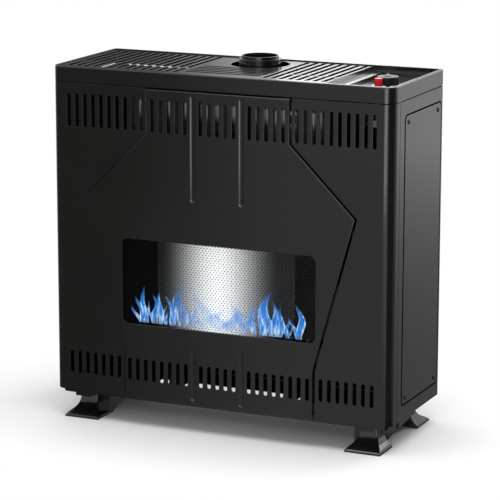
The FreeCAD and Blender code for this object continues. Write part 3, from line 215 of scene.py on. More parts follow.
def apply_modifier(thing, kind, **values):
    select_only(thing)
    modifier = thing.modifiers.new(kind.title(), kind)
    for key, value in values.items():
        setattr(modifier, key, value)
    bpy.ops.object.modifier_apply(modifier=modifier.name)


def round_rims(thing, width):
    apply_modifier(
        thing, "BEVEL", width=width, segments=3, limit_method="ANGLE", angle_limit=math.radians(50))


def smooth(thing, degrees=35.0):
    select_only(thing)
    bpy.ops.object.shade_smooth_by_angle(angle=math.radians(degrees))


def outward(thing):
    start_edit(thing)
    bpy.ops.mesh.normals_make_consistent(inside=False)
    end_edit()


def thicken(thing, gauge):
    """Give a flat sheet its thickness, half of it to each side."""
    apply_modifier(thing, "SOLIDIFY", thickness=gauge, offset=0.0)
    outward(thing)


def keep(thing, slot, *replaced, material=None, body="heater"):
    """Give a finished piece its material, its body and the nodes that it stands for."""
    thing.data.materials.clear()
    thing.data.materials.append(material or FINISHES[slot])
    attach(thing, body)
    if replaced:
        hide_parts(*replaced)


def joined(things, name):
    select_only(things[0])
    for thing in things:
        thing.select_set(True)
    bpy.ops.object.join()
    return new_piece(name)


# Shader nodes

def add_node(tree, kind, **values):
    node = tree.nodes.new(kind)
    for key, value in values.items():
        setattr(node, key, value)
    return node


def first_node(tree, kind):
    return next(node for node in tree.nodes if node.type == kind)


def noise(tree, coordinates, scale=1.0, detail=2.0, rough=0.5):
    node = add_node(tree, "ShaderNodeTexNoise")
    for socket, number in (("Scale", scale), ("Detail", detail), ("Roughness", rough)):
        node.inputs[socket].default_value = number
    tree.links.new(coordinates, node.inputs["Vector"])
    return node.outputs["Fac"]


def bands(tree, direction, scale, distortion=0.0):
    """Even bands on Object coordinates."""
    node = add_node(tree, "ShaderNodeTexWave", wave_type="BANDS", bands_direction=direction)
    node.inputs["Scale"].default_value = scale
    node.inputs["Distortion"].default_value = distortion
    tree.links.new(object_coordinates(tree), node.inputs["Vector"])
    return node.outputs["Fac"]


def remap(tree, value, low, high, to_low=0.0, to_high=1.0, smooth_step=True):
    node = add_node(tree, "ShaderNodeMapRange", interpolation_type="SMOOTHSTEP" if smooth_step else "LINEAR")
    for socket, number in zip(("From Min", "From Max", "To Min", "To Max"), (low, high, to_low, to_high)):
        node.inputs[socket].default_value = number
    tree.links.new(value, node.inputs["Value"])
    return node.outputs["Result"]


def maths(tree, operation, first, second=0.0):
    node = add_node(tree, "ShaderNodeMath", operation=operation)
    for socket, value in zip(node.inputs, (first, second)):
        if isinstance(value, (int, float)):
            socket.default_value = value
        else:
            tree.links.new(value, socket)
    return node.outputs["Value"]


def plus(tree, first, second):
    return maths(tree, "ADD", first, second)


def times(tree, first, second):
    return maths(tree, "MULTIPLY", first, second)


def rest_of(tree, mask):
    return maths(tree, "SUBTRACT", 1.0, mask)


def paint(tree, socket, mask, first, second):
    """Give a shader's socket two colours, mixed by a mask."""
    node = add_node(tree, "ShaderNodeMix", data_type="RGBA", blend_type="MIX")
    tree.links.new(mask, node.inputs[0])
    for side, value in zip((node.inputs[6], node.inputs[7]), (first, second)):
        side.default_value = (*value, 1.0)
    tree.links.new(node.outputs[2], socket)


def blend_shaders(tree, mask, first, second):
    node = add_node(tree, "ShaderNodeMixShader")
    for socket, value in zip(node.inputs, (mask, first, second)):
        tree.links.new(value, socket)
    return node.outputs["Shader"]


def object_coordinates(tree):
    return add_node(tree, "ShaderNodeTexCoord").outputs["Object"]


def axes(tree, coordinates):
    node = add_node(tree, "ShaderNodeSeparateXYZ")
    tree.links.new(coordinates, node.inputs["Vector"])
    return node.outputs


def stretched(tree, coordinates, scale):
    node = add_node(tree, "ShaderNodeMapping")
    node.inputs["Scale"].default_value = scale
    tree.links.new(coordinates, node.inputs["Vector"])
    return node.outputs["Vector"]


# How close together a pattern lies along each axis
WIPE_SCALE = (14.0, 14.0, 9.0)
ROLL_SCALE = (900.0, 60.0, 18.0)
REFLECTION_PATCH_SCALE = (62.0, 0.0, 2.0)
STREAK_SCALE = (300.0, 60.0, 45.0)
# How far the drift of tone and the wiped smudges each turn enamel to its rubbed colour
DRIFT_SHARE, SMUDGE_SHARE = 0.6, 0.4


def enamel_texture(tree, at):
    """Fired enamel: slow drifts of tone, faint wiped smudges and fine orange peel."""
    drift = remap(tree, noise(tree, at, scale=5.0, detail=3.0), 0.3, 0.7)
    wiped = remap(tree, noise(tree, stretched(tree, at, WIPE_SCALE), detail=4.0, rough=0.55), 0.42, 0.75)
    tone = plus(tree, times(tree, drift, DRIFT_SHARE), times(tree, wiped, SMUDGE_SHARE))
    return tone, wiped, noise(tree, at, scale=900.0)


def rolled_texture(tree, at):
    """Rolled or drawn metal: handling stains, fine streaks along one way and a fine grain."""
    stain = remap(tree, noise(tree, at, scale=34.0, detail=6.0, rough=0.65), 0.38, 0.72)
    streak = remap(tree, noise(tree, stretched(tree, at, ROLL_SCALE), detail=4.0, rough=0.7), 0.25, 0.75)
    return stain, streak, noise(tree, at, scale=2200.0, detail=1.0)


def moulded_texture(tree, at):
    """Moulded surface: slow changes of gloss and a fine spark grain."""
    gloss = remap(tree, noise(tree, at, scale=60.0, detail=3.0), 0.3, 0.7)
    return gloss, gloss, noise(tree, at, scale=3200.0, rough=0.6)


TEXTURES = {"enamel": enamel_texture, "rolled": rolled_texture, "moulded": moulded_texture}
OUTPUTS = ("Tone", "Gloss", "Relief")


def new_group(kind):
    """A node group that takes coordinates and puts out one texture's values."""
    tree = bpy.data.node_groups.new(f"heater_{kind}", "ShaderNodeTree")
    tree.interface.new_socket("Coordinates", in_out="INPUT", socket_type="NodeSocketVector")
    for label in OUTPUTS:
        tree.interface.new_socket(label, in_out="OUTPUT", socket_type="NodeSocketFloat")
    at, out = tree.nodes.new("NodeGroupInput").outputs["Coordinates"], tree.nodes.new("NodeGroupOutput")
    for label, value in zip(OUTPUTS, TEXTURES[kind](tree, at)):
        tree.links.new(value, out.inputs[label])
    return tree


def texture(tree, kind):
    """One of the shared groups, placed in a material on Object coordinates."""
    group = bpy.data.node_groups.get(f"heater_{kind}") or new_group(kind)
    node = add_node(tree, "ShaderNodeGroup", node_tree=group)
    tree.links.new(object_coordinates(tree), node.inputs["Coordinates"])
    return node.outputs


# Finishes

BUMP_STRENGTH = 0.5
# Heights on the heat exchanger between which the painted shade gives way to painted reflections, and comes
# back again at the top
PAINTED_SHADE_LIFTS, PAINTED_SHADE_RETURNS = (0.594, 0.616), (0.627, 0.632)
REFLECTION_PATCH_EDGE = (0.47, 0.56)
# The screen's painted glow and the painted shade beside it: the glow's middle off the screen's, its reach,
# and how it falls off
GLOW_ASIDE_SHARE, GLOW_REACH_SHARE, GLOW_FALL = 0.08, 0.98, 1.9
# The ribs of the painted glow: how close together they lie, and how far the glow is darkened between them as
# painted shade
RIB_SCALE, RIB_PAINTED_SHADE = 36.0, 0.75
# The normal's y at which the screen's painted glow still shows, and at which it no longer does
GLOW_FACING = (-0.7, -0.3)
# What turns a flame pale: its rim, its streaks and its foot
RIM_PALE, STREAK_PALE, FOOT_PALE = 0.4, 2.2, 0.35
PALE_EDGE = (1.05, 1.7)
# How dense a flame is up to its tip, up from its foot and by its paleness: two ends, and the shares there
TIP_THINS, FOOT_THINS, PALE_SOLID = (0.5, 1.0, 1.0, 0.2), (0.0, 0.2, 0.3, 1.0), (0.0, 0.8, 0.52, 0.95)
FLAME_MARKS = ("rim", "rise", "body")
# Constants of a surface that only shines by itself
UNLIT = {"Base_Color": (0.0, 0.0, 0.0, 1.0), "Roughness": 1.0, "Specular_IOR_Level": 0.0}


def grey(level):
    return (level, level, level)


def tinted(base, factor):
    return tuple(min(1.0, channel * factor) for channel in base)


def new_material(name, **constants):
    """A material with its Principled shader and the constants set on the shader's own sockets."""
    material = bpy.data.materials.new(f"heater_{name}")
    material.use_nodes = True
    inputs = first_node(material.node_tree, "BSDF_PRINCIPLED").inputs
    for key, value in constants.items():
        inputs[key.replace("_", " ")].default_value = value
    return material, material.node_tree, inputs


def bump(tree, inputs, height, depth):
    node = add_node(tree, "ShaderNodeBump")
    node.inputs["Strength"].default_value = BUMP_STRENGTH
    node.inputs["Distance"].default_value = depth
    tree.links.new(height, node.inputs["Height"])
    tree.links.new(node.outputs["Normal"], inputs["Normal"])


def textured(name, kind, first, second, gloss, depth, **constants):
    """A finish on one of the shared textures: two colours, two roughnesses and a fine relief."""
    material, tree, inputs = new_material(name, **constants)
    out = texture(tree, kind)
    paint(tree, inputs["Base Color"], out["Tone"], first, second)
    tree.links.new(remap(tree, out["Gloss"], 0.0, 1.0, *gloss, False), inputs["Roughness"])
    bump(tree, inputs, out["Relief"], depth)
    return material


def enamelled(name, deep, rubbed, gloss=(0.12, 0.16), peel=0.000004):
    """Enamel on steel."""
    return textured(name, "enamel", deep, rubbed, gloss, peel, IOR=1.5)


def metalled(name, bright, dull, gloss=(0.25, 0.45), grain=0.00002):
    """Bare or plated metal."""
    return textured(name, "rolled", bright, dull, gloss, grain, Metallic=1.0)


def moulded(name, deep, pale, gloss=(0.3, 0.42), grain=0.00002, specular=0.5):
    """Moulded plastic, rubber or glazed ceramic, and sooted sheet."""
    return textured(name, "moulded", deep, pale, gloss, grain, Specular_IOR_Level=specular)


def ribs_painted_light_and_shade():
    """The heat exchanger: painted reflections in patches on its upper part, and near-black painted shade
    further down and at its very top.
    """
    material, tree, inputs = new_material("rib_steel", Roughness=0.6)
    at = object_coordinates(tree)
    level = axes(tree, at)["Z"]
    high = times(tree, remap(tree, level, *PAINTED_SHADE_LIFTS), remap(tree, level, *PAINTED_SHADE_RETURNS, 1.0, 0.0))
    reflection_patch = remap(tree, noise(tree, stretched(tree, at, REFLECTION_PATCH_SCALE), detail=1.0), *REFLECTION_PATCH_EDGE)
    painted_reflection_mask = times(tree, high, reflection_patch)
    # Painted reflection in pale patches, and near-black painted shade everywhere else
    paint(tree, inputs["Base Color"], painted_reflection_mask, finish().heat_steel, finish().rib_steel)
    bump(tree, inputs, texture(tree, "moulded")["Relief"], 0.00003)
    return material


def window_glass():
    material, tree, inputs = new_material(
        "window_glass", Base_Color=(0.9, 0.92, 0.93, 1.0), Transmission_Weight=1.0, IOR=1.2)
    haze = noise(tree, object_coordinates(tree), scale=18.0, detail=4.0)
    tree.links.new(remap(tree, haze, 0.4, 0.8, 0.0, 0.04), inputs["Roughness"])
    return material


def gasket_rope():
    """Woven glass tape, with its weave on the object's own grid."""
    material, tree, inputs = new_material("gasket_rope", Roughness=0.9)
    weave = bands(tree, "DIAGONAL", 420.0, 1.5)
    paint(tree, inputs["Base Color"], weave, grey(0.01), (0.03, 0.03, 0.029))
    bump(tree, inputs, weave, 0.0002)
    return material


def radiant_steel():
    """Screen steel painted pale and glowing in its middle, with painted shade towards its sides and in bands
    along its ribs; the painted glow shows only on faces towards the front.
    """
    material, tree, inputs = new_material("radiant_steel", Specular_IOR_Level=0.1, Emission_Strength=0.8)
    reach = (SCREEN_HIGH.x - SCREEN_LOW.x) / 2
    across = axes(tree, object_coordinates(tree))["X"]
    off_centre = maths(tree, "ABSOLUTE", plus(tree, across, reach * GLOW_ASIDE_SHARE))
    painted_falloff = remap(tree, off_centre, 0.0, reach * GLOW_REACH_SHARE, 1.0, 0.0)
    bright = maths(tree, "POWER", painted_falloff, GLOW_FALL)
    rib = bands(tree, "X", RIB_SCALE)
    facing = axes(tree, add_node(tree, "ShaderNodeTexCoord").outputs["Normal"])["Y"]
    painted_glow_mask = times(tree, bright, remap(tree, rib, 0.0, 1.0, RIB_PAINTED_SHADE, 1.0, False))
    painted_glow_mask = times(tree, painted_glow_mask, remap(tree, facing, *GLOW_FACING, 1.0, 0.0))
    # Painted glow: bright in the middle, falling off to the sides, darker in bands along the ribs
    paint(tree, inputs["Emission Color"], painted_glow_mask, grey(0.0), finish().glow)
    # Painted highlight and shade: pale in the middle, near-black towards the sides
    paint(tree, inputs["Base Color"], bright, grey(0.02), finish().screen)
    tree.links.new(remap(tree, rib, 0.0, 1.0, 0.3, 0.5, False), inputs["Roughness"])
    return material


def burning_gas():
    """Flame: blue inside, pale in streaks and at its rim and foot, thinner at its foot and its tip."""
    material, tree, inputs = new_material("burning_gas", Emission_Strength=1.05, **UNLIT)
    rim, rise, body = (
        add_node(tree, "ShaderNodeAttribute", attribute_name=mark).outputs["Fac"] for mark in FLAME_MARKS)
    at = stretched(tree, object_coordinates(tree), STREAK_SCALE)
    streak = noise(tree, at, detail=4.0, rough=0.6)
    edge = plus(tree, times(tree, rim, RIM_PALE), times(tree, streak, STREAK_PALE))
    edge = maths(tree, "SUBTRACT", edge, times(tree, rise, FOOT_PALE))
    pale = remap(tree, edge, *PALE_EDGE)
    paint(tree, inputs["Emission Color"], pale, finish().flame, finish().flame_edge)
    thin = times(tree, remap(tree, rise, *TIP_THINS), remap(tree, rise, *FOOT_THINS))
    solid = remap(tree, pale, *PALE_SOLID, False)
    tree.links.new(times(tree, times(tree, thin, solid), body), inputs["Alpha"])
    return material


def make_finishes():
    """Every finish by its name, which is the record's slot for all but the painted shade in the cover gaps
    and the ribs' painted reflections and shade.
    """
    f = finish()
    looks = {
        "enamel": (enamelled, f.enamel, f.enamel_worn),
        "grille_enamel": (enamelled, f.deck, tinted(f.deck, 1.2), (0.1, 0.14), 0.000001),
        "foot_black": (enamelled, f.foot, tinted(f.foot, 1.8), (0.08, 0.14)),
        "pad_rubber": (moulded, grey(0.01), grey(0.018), (0.7, 0.85), 0.00005),
        # Near-black and nearly without shine: painted shade for the gaps round the access covers
        "seal_rubber": (moulded, grey(0.002), grey(0.004), (0.9, 1.0), 0.00002, 0.02),
        "zinc_sheet": (metalled, f.zinc, tinted(f.zinc, 0.6), (0.3, 0.5)),
        "fastener_steel": (metalled, grey(0.05), grey(0.03), (0.25, 0.4)),
        "frame_steel": (enamelled, grey(0.006), grey(0.01), (0.6, 0.75)),
        "heat_steel": (moulded, f.heat_steel, tinted(f.heat_steel, 1.6), (0.75, 0.9), 0.00001, 0.05),
        "flue_steel": (enamelled, f.foot, f.enamel, (0.14, 0.2)),
        "burner_steel": (metalled, (0.22, 0.21, 0.2), (0.09, 0.08, 0.075), (0.4, 0.6)),
        "brass": (metalled, f.brass, tinted(f.brass, 0.6), (0.22, 0.38)),
        # Dark copper: partly heat patina, partly painted shade inside the casing
        "copper_pipe": (metalled, f.copper_patina_and_shade, tinted(f.copper_patina_and_shade, 0.5)),
        "ceramic": (moulded, (0.75, 0.73, 0.68), (0.85, 0.83, 0.79), (0.15, 0.25)),
        "lead_rubber": (moulded, grey(0.02), grey(0.03), (0.5, 0.65)),
        "valve_alloy": (metalled, grey(0.5), grey(0.32), (0.4, 0.6), 0.00006),
        "knob_black": (moulded, f.knob, tinted(f.knob, 1.7), (0.28, 0.4)),
        "knob_silver": (metalled, f.cap, tinted(f.cap, 0.7), (0.5, 0.6)),
        "button_red": (moulded, f.button, tinted(f.button, 1.25), (0.18, 0.3)),
        "bezel_black": (moulded, f.knob, tinted(f.knob, 2.0), (0.2, 0.3)),
        "peg_light": (moulded, (0.6, 0.6, 0.57), (0.7, 0.7, 0.67), (0.25, 0.35)),
    }
    made = {name: make(name, *values) for name, (make, *values) in looks.items()}
    made.update(window_glass=window_glass(), gasket_rope=gasket_rope())
    made.update(rib_steel=ribs_painted_light_and_shade(), screen_steel=radiant_steel())
    return made


FINISHES = {}
SLOTS = {part["node"]: part["material_slot"] for part in frame["record"]["subparts"]}
# The heat exchanger takes the finish with painted reflections and shade, not its slot's finish
OWN_FINISH = {"heat_exchanger": "rib_steel"}


class HEATER_OT_finishes(bpy.types.Operator):
    """Give every node its finish"""

    bl_idname = "heater.finishes"
    bl_label = "Finishes"

    def execute(self, context):
        FINISHES.update(make_finishes())
        for name, node in NODES.items():
            node.data.materials.clear()
            node.data.materials.append(FINISHES[OWN_FINISH.get(name, SLOTS[name])])
        return {"FINISHED"}


CASING = (
    "top_frame", "top_grille", "control_panel", "front_centre_panel", "front_left_wing", "front_right_wing",
    "left_side_panel", "right_side_panel", "left_access_cover", "right_access_cover", "base_frame",
    "back_panel", "flue_collar", "front_left_foot", "front_right_foot", "rear_left_foot", "rear_right_foot",
)
# How far behind the front panel's face a bead's floor lies, and how many beads there are
BEAD_FROM, BEAD_TO, BEAD_COUNT = 0.0005, 0.0018, 4
BEAD_LENGTH_SHARE = 0.97
# Points nearer than this are one point, or lie at one level
MERGE_WITHIN, LEVEL_WITHIN, DEPTH_WITHIN = 1e-6, 1e-5, 1e-4
# A face whose normal has more than this along an axis is square to it, and less than this, along it
SQUARE_TO, ALONG = 0.99, 0.1


class HEATER_OT_casing(bpy.types.Operator):
    """Make the casing's sheets with softly rounded cut edges"""

    bl_idname = "heater.casing"
    bl_label = "Casing sheets"

    def execute(self, context):
        for node in CASING:
            sheet = bpy.data.objects.new(f"{node}_sheet", NODES[node].data.copy())
            context.scene.collection.objects.link(sheet)
            self.clean(sheet)
            if node == "front_centre_panel":
                self.slope_beads(sheet)
                self.round_outline(sheet)
            apply_modifier(sheet, "BEVEL", width=shape().fold_round, segments=2, limit_method="ANGLE",
                           angle_limit=math.radians(40), use_clamp_overlap=False)
            smooth(sheet)
            apply_modifier(sheet, "WEIGHTED_NORMAL", mode="FACE_AREA", weight=100, keep_sharp=True)
            keep(sheet, SLOTS[node], node)
        return {"FINISHED"}

    def clean(self, sheet):
        """Join the sheet's loose triangles and clear the lines across its flat faces."""
        select_only(sheet)
        bpy.ops.mesh.customdata_custom_splitnormals_clear()
        start_edit(sheet)
        bpy.ops.mesh.remove_doubles(threshold=MERGE_WITHIN)
        bpy.ops.mesh.dissolve_limited(angle_limit=math.radians(0.5))
        end_edit()

    def slope_beads(self, sheet):
        """Draw in the floor of each pressed bead, so that its sides slope, and round its edges."""
        mesh = sheet.data
        face_level = min(vertex.co.y for vertex in mesh.vertices)
        sunk = [face for face in mesh.polygons if face.normal.y < -SQUARE_TO and
                face_level + BEAD_FROM < face.center.y < face_level + BEAD_TO]
        largest = sorted(sunk, key=lambda face: -face.area)[:BEAD_COUNT]
        floors = [(face.center.copy(), set(face.vertices)) for face in largest]
        floor_corners = set().union(*(corners for _, corners in floors))
        rims = {key for face in mesh.polygons for key in face.edge_keys
                if len(set(face.vertices) & floor_corners) == 2}
        for centre, corners in floors:
            pick(sheet, "VERT", mesh.vertices, lambda vertex: vertex.index in corners)
            middle = [sum(mesh.vertices[i].co[axis] for i in corners) / len(corners) for axis in (1, 2)]
            bpy.ops.transform.resize(
                value=(shape().bead_floor, 1.0, BEAD_LENGTH_SHARE), center_override=(centre.x, *middle))
            end_edit()
        level_rims = {(start, end) for start, end in rims
                      if abs(mesh.vertices[start].co.y - mesh.vertices[end].co.y) < BEAD_FROM}
        self.round_edges(sheet, level_rims, shape().bead_round, 2, True)

    def round_outline(self, sheet):
        """Round the panel's outline where its face turns back towards the wings."""
        mesh = sheet.data
        face_level = min(vertex.co.y for vertex in mesh.vertices)
        deep = max(vertex.co.y for vertex in mesh.vertices)
        walls = [face for face in mesh.polygons if abs(face.normal.y) < ALONG and
                 max(mesh.vertices[i].co.y for i in face.vertices) > deep - DEPTH_WITHIN]
        rim = {key for face in walls for key in face.edge_keys
               if all(mesh.vertices[i].co.y < face_level + LEVEL_WITHIN for i in key)}
        self.round_edges(sheet, rim, shape().panel_round, 4, False)

    def round_edges(self, sheet, keys, offset, segments, clamped):
        pick(sheet, "EDGE", sheet.data.edges, lambda edge: edge.key in keys)
        bpy.ops.mesh.bevel(offset=offset, segments=segments, affect="EDGES", clamp_overlap=clamped)
        end_edit()


class HEATER_OT_screen(bpy.types.Operator):
    """Perforate the bowed radiant screen behind the flames"""

    bl_idname = "heater.screen"
    bl_label = "Radiant screen"

    def execute(self, context):
        pitch = shape().hole_pitch
        row = pitch * shape().row_share
        width, height = SCREEN_HIGH.x - SCREEN_LOW.x, SCREEN_HIGH.z - SCREEN_LOW.z
        screen = self.cell(pitch)
        self.repeat(screen, math.ceil(width / pitch) + 2, (pitch, 0.0, 0.0))
        self.repeat(screen, 2, (pitch / 2, 0.0, row))
        self.repeat(screen, math.ceil(height / row / 2), (0.0, 0.0, row * 2))
        self.trim(screen)
        self.bow(screen)
        thicken(screen, shape().screen_gauge)
        keep(screen, "screen_steel", "radiant_screen")
        return {"FINISHED"}

    def cell(self, pitch):
        """A square of sheet with an eight-sided hole, at the screen's lower left corner."""
        corner = Vector((SCREEN_LOW.x - pitch / 2, 0.0, SCREEN_LOW.z + pitch / 2))
        cell = started("radiant_screen_sheet", "plane", size=pitch, location=corner,
                       rotation=(QUARTER_TURN, 0.0, 0.0))
        start_edit(cell)
        bpy.ops.mesh.subdivide(number_cuts=1)
        end_edit()
        pick(cell, "VERT", cell.data.vertices, lambda vertex: (vertex.co - corner).length < pitch / 10)
        bpy.ops.mesh.bevel(offset=pitch * shape().hole_share, segments=2, affect="VERTICES")
        bpy.ops.mesh.delete(type="ONLY_FACE")
        bpy.ops.mesh.select_all(action="SELECT")
        bpy.ops.transform.resize(
            value=(1.0, 1.0, shape().row_share), center_override=(corner.x, 0.0, SCREEN_LOW.z))
        end_edit()
        return cell

    def repeat(self, screen, count, step):
        apply_modifier(screen, "ARRAY", count=count, use_relative_offset=False, use_constant_offset=True,
                       constant_offset_displace=step, use_merge_vertices=True, merge_threshold=LEVEL_WITHIN)

    def trim(self, screen):
        left, right, up = (-1.0, 0.0, 0.0), (1.0, 0.0, 0.0), (0.0, 0.0, 1.0)
        start_edit(screen)
        for spot, normal in ((SCREEN_LOW, left), (SCREEN_HIGH, right), (SCREEN_HIGH, up)):
            bpy.ops.mesh.select_all(action="SELECT")
            bpy.ops.mesh.bisect(plane_co=spot, plane_no=normal, clear_outer=True)
        end_edit()

    def bow(self, screen):
        """Lean the flat sheet back towards its sides, as the solid screen does."""
        reach, depth = SCREEN_HIGH.x, SCREEN_HIGH.y - SCREEN_LOW.y - shape().screen_gauge
        for vertex in screen.data.vertices:
            vertex.co.y = SCREEN_LOW.y + shape().screen_gauge + depth * (vertex.co.x / reach) ** 2


# Each flame's foot, tip, width and height as shares of the window, and how dense it is
FLAME_SHARES = (
    (-0.82, -0.854, 0.045, 0.29, 1.0), (-0.774, -0.82, 0.034, 0.42, 1.0), (-0.681, -0.70, 0.05, 0.33, 0.95),
    (-0.628, -0.62, 0.034, 0.38, 1.0), (-0.568, -0.568, 0.022, 0.16, 0.9), (-0.508, -0.542, 0.042, 0.33, 1.0),
    (-0.402, -0.389, 0.085, 0.47, 0.45), (-0.309, -0.295, 0.05, 0.27, 0.4),
    (-0.176, -0.216, 0.09, 0.42, 0.22), (-0.043, -0.03, 0.09, 0.26, 0.3), (0.09, 0.13, 0.1, 0.32, 0.4),
    (0.216, 0.183, 0.06, 0.28, 0.5), (0.336, 0.269, 0.036, 0.36, 0.9), (0.409, 0.382, 0.034, 0.24, 0.95),
    (0.475, 0.455, 0.075, 0.5, 1.0), (0.535, 0.508, 0.042, 0.4, 0.9), (0.588, 0.628, 0.042, 0.35, 1.0),
    (0.668, 0.654, 0.03, 0.2, 0.95), (0.781, 0.781, 0.052, 0.38, 1.0),
)
FLAME_STEPS = 12
FLAME_SIDES = 12
FLAME_FOOT = 0.5
FLAME_SWELL = 2.2
FLAME_TAPER = 1.25
FLAME_SWAY = 0.8
FLAME_LIFT = 0.045
# How a flame's line bends: how late it leans, its waves, and their shift from flame to flame
FLAME_LEAN, FLAME_WAVES, FLAME_PHASE = 1.4, 5.0, 2.4
LICK_REACH_SHARE = 0.9
LICK_WIDTH_SHARE = 0.5
LICK_HEIGHT_SHARE = 0.62
LICK_BODY_SHARE = 0.8
# The highest share of a flame at which its width is still measured, and its least width
MARK_TOP_SHARE, MARK_LEAST = 0.97, 1e-5


class Flame:
    """The line and the width of one flame, from its foot to its tip."""

    def __init__(self, number, shares):
        foot, tip, wide, tall, self.body = shares
        half = (WINDOW_HIGH.x - WINDOW_LOW.x) / 2
        self.foot, self.tip = foot * half, tip * half
        self.half_width = wide * half
        window_tall = WINDOW_HIGH.z - WINDOW_LOW.z
        self.low = BURNER_HIGH.z + FLAME_LIFT * window_tall
        self.tall = tall * window_tall
        self.phase = number * FLAME_PHASE

    def width(self, rise):
        swell = (FLAME_FOOT + FLAME_SWELL * rise) * (1.0 - rise) ** FLAME_TAPER
        return self.half_width * swell

    def middle(self, rise):
        wave = math.sin(rise * FLAME_WAVES + self.phase)
        sway = wave * FLAME_SWAY * self.half_width * rise * (2.0 - rise)
        return self.foot + (self.tip - self.foot) * rise ** FLAME_LEAN + sway


class HEATER_OT_flames(bpy.types.Operator):
    """Draw up the flames over the burner"""

    bl_idname = "heater.flames"
    bl_label = "Flames"

    def execute(self, context):
        licks = (self.lick(number, shares) for number, shares in enumerate(FLAME_SHARES))
        flames = (*FLAME_SHARES, *licks)
        tongues = [self.tongue(Flame(number, shares)) for number, shares in enumerate(flames)]
        fire = joined(tongues, "burner_flames")
        smooth(fire, 80.0)
        keep(fire, "window_glass", material=burning_gas())
        return {"FINISHED"}

    def lick(self, number, shares):
        """A lower, thinner flame that leans away beside one of the flames, to each side in turn."""
        foot, tip, wide, tall, body = shares
        aside = LICK_REACH_SHARE * wide * (1 if number % 2 else -1)
        wide, tall, body = wide * LICK_WIDTH_SHARE, tall * LICK_HEIGHT_SHARE, body * LICK_BODY_SHARE
        return (foot + aside / 2, tip + aside * 2, wide, tall, body)

    def tongue(self, flame):
        """Extrude a flat ring upwards along the flame's line, then close its tip."""
        at_y = (BURNER_LOW.y + BURNER_HIGH.y) / 2
        ring = (flame.width(0.0), shape().flame_depth / 2, 1.0)
        tongue = started("flame", "circle", ring, vertices=FLAME_SIDES, radius=1.0,
                         fill_type="NGON", location=(flame.middle(0.0), at_y, flame.low))
        start_edit(tongue)
        for step in range(1, FLAME_STEPS + 1):
            before, rise = (step - 1) / FLAME_STEPS, step / FLAME_STEPS
            move = (flame.middle(rise) - flame.middle(before), 0.0, flame.tall / FLAME_STEPS)
            bpy.ops.mesh.extrude_region_move(TRANSFORM_OT_translate={"value": move})
            if step == FLAME_STEPS:
                bpy.ops.mesh.merge(type="CENTER")
                continue
            squeeze = flame.width(rise) / flame.width(before)
            centre = (flame.middle(rise), at_y, flame.low + flame.tall * rise)
            bpy.ops.transform.resize(value=(squeeze, squeeze ** 0.5, 1.0), center_override=centre)
        end_edit()
        outward(tongue)
        self.mark(tongue, flame)
        return tongue

    def mark(self, tongue, flame):
        """Note on each point how near it is to the rim and to the tip, and how dense its flame is."""
        marks = tongue.data.attributes
        rim, rise, body = (marks.new(name, "FLOAT", "POINT").name for name in FLAME_MARKS)
        for number, point in enumerate(tongue.data.vertices):
            up = min(1.0, max(0.0, (point.co.z - flame.low) / flame.tall))
            reach = max(flame.width(min(up, MARK_TOP_SHARE)), MARK_LEAST)
            marks[rim].data[number].value = min(1.0, abs(point.co.x - flame.middle(up)) / reach)
            marks[rise].data[number].value = up
            marks[body].data[number].value = flame.body


# A cover screw's length, seat, domed rim and cross, by its head's height and radius
SCREW_LENGTH_SHARE = 1.9
SCREW_SEAT_SHARE = 0.05
SCREW_INSET_SHARE = 0.28
SCREW_ROUND_SHARE = 0.45
CROSS_REACH_SHARE = 1.1
# Corners of a screw lie this near its middle, and two screws lie further apart than this
SCREW_NEAR, SCREW_APART = 0.02, 0.01


class HEATER_OT_screws(bpy.types.Operator):
    """Cut a cross into the heads of the cover screws"""

    bl_idname = "heater.screws"
    bl_label = "Cover screws"

    def execute(self, context):
        outermost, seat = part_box("cover_screws")[1].x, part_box("right_access_cover")[1].x
        places = self.places(outermost)
        screws = [self.screw(side, y, z, seat, outermost - seat) for side in (-1.0, 1.0) for y, z in places]
        heads = joined(screws, "cover_screw_heads")
        keep(heads, "fastener_steel", "cover_screws")
        return {"FINISHED"}

    def places(self, outermost):
        """Centres of the right-hand heads, read from the solid screws."""
        rims = [v.co for v in NODES["cover_screws"].data.vertices if v.co.x > outermost - DEPTH_WITHIN]
        centres = []
        for spot in rims:
            near = [c for c in rims if abs(c.y - spot.y) < SCREW_NEAR and abs(c.z - spot.z) < SCREW_NEAR]
            y, z = ((min(c[axis] for c in near) + max(c[axis] for c in near)) / 2 for axis in (1, 2))
            if all(math.dist((y, z), c) > SCREW_APART for c in centres):
                centres.append((y, z))
        return centres

    def screw(self, side, y, z, seat, head):
        """A domed head on a short shank, with a cross sunk in its face."""
        radius = shape().screw_radius
        screw = started("cover_screw", "cylinder", vertices=32, radius=radius,
                        depth=head * SCREW_LENGTH_SHARE, rotation=(0.0, QUARTER_TURN * side, 0.0),
                        location=(side * (seat + head * SCREW_SEAT_SHARE), y, z))
        pick(screw, "FACE", screw.data.polygons, lambda face: face.normal.x * side > SQUARE_TO)
        bpy.ops.mesh.inset(thickness=radius * SCREW_INSET_SHARE, depth=0.0)
        end_edit()
        round_rims(screw, head * SCREW_ROUND_SHARE)
        cross = self.cross((side * (seat + head), y, z), radius * CROSS_REACH_SHARE)
        apply_modifier(screw, "BOOLEAN", operation="DIFFERENCE", object=cross, solver="EXACT")
        bpy.data.objects.remove(cross)
        smooth(screw)
        return screw

    def cross(self, place, reach):
        slot, depth = shape().screw_slot, shape().cross_depth
        level, upright = (
            started("bar", "cube", scale, size=1.0, location=place)
            for scale in ((depth, reach, slot), (depth, slot, reach)))
        apply_modifier(level, "BOOLEAN", operation="UNION", object=upright, solver="EXACT")
        bpy.data.objects.remove(upright)
        return level


HUB_LIFT_SHARE, HUB_ROUND_SHARE = 0.3, 0.4


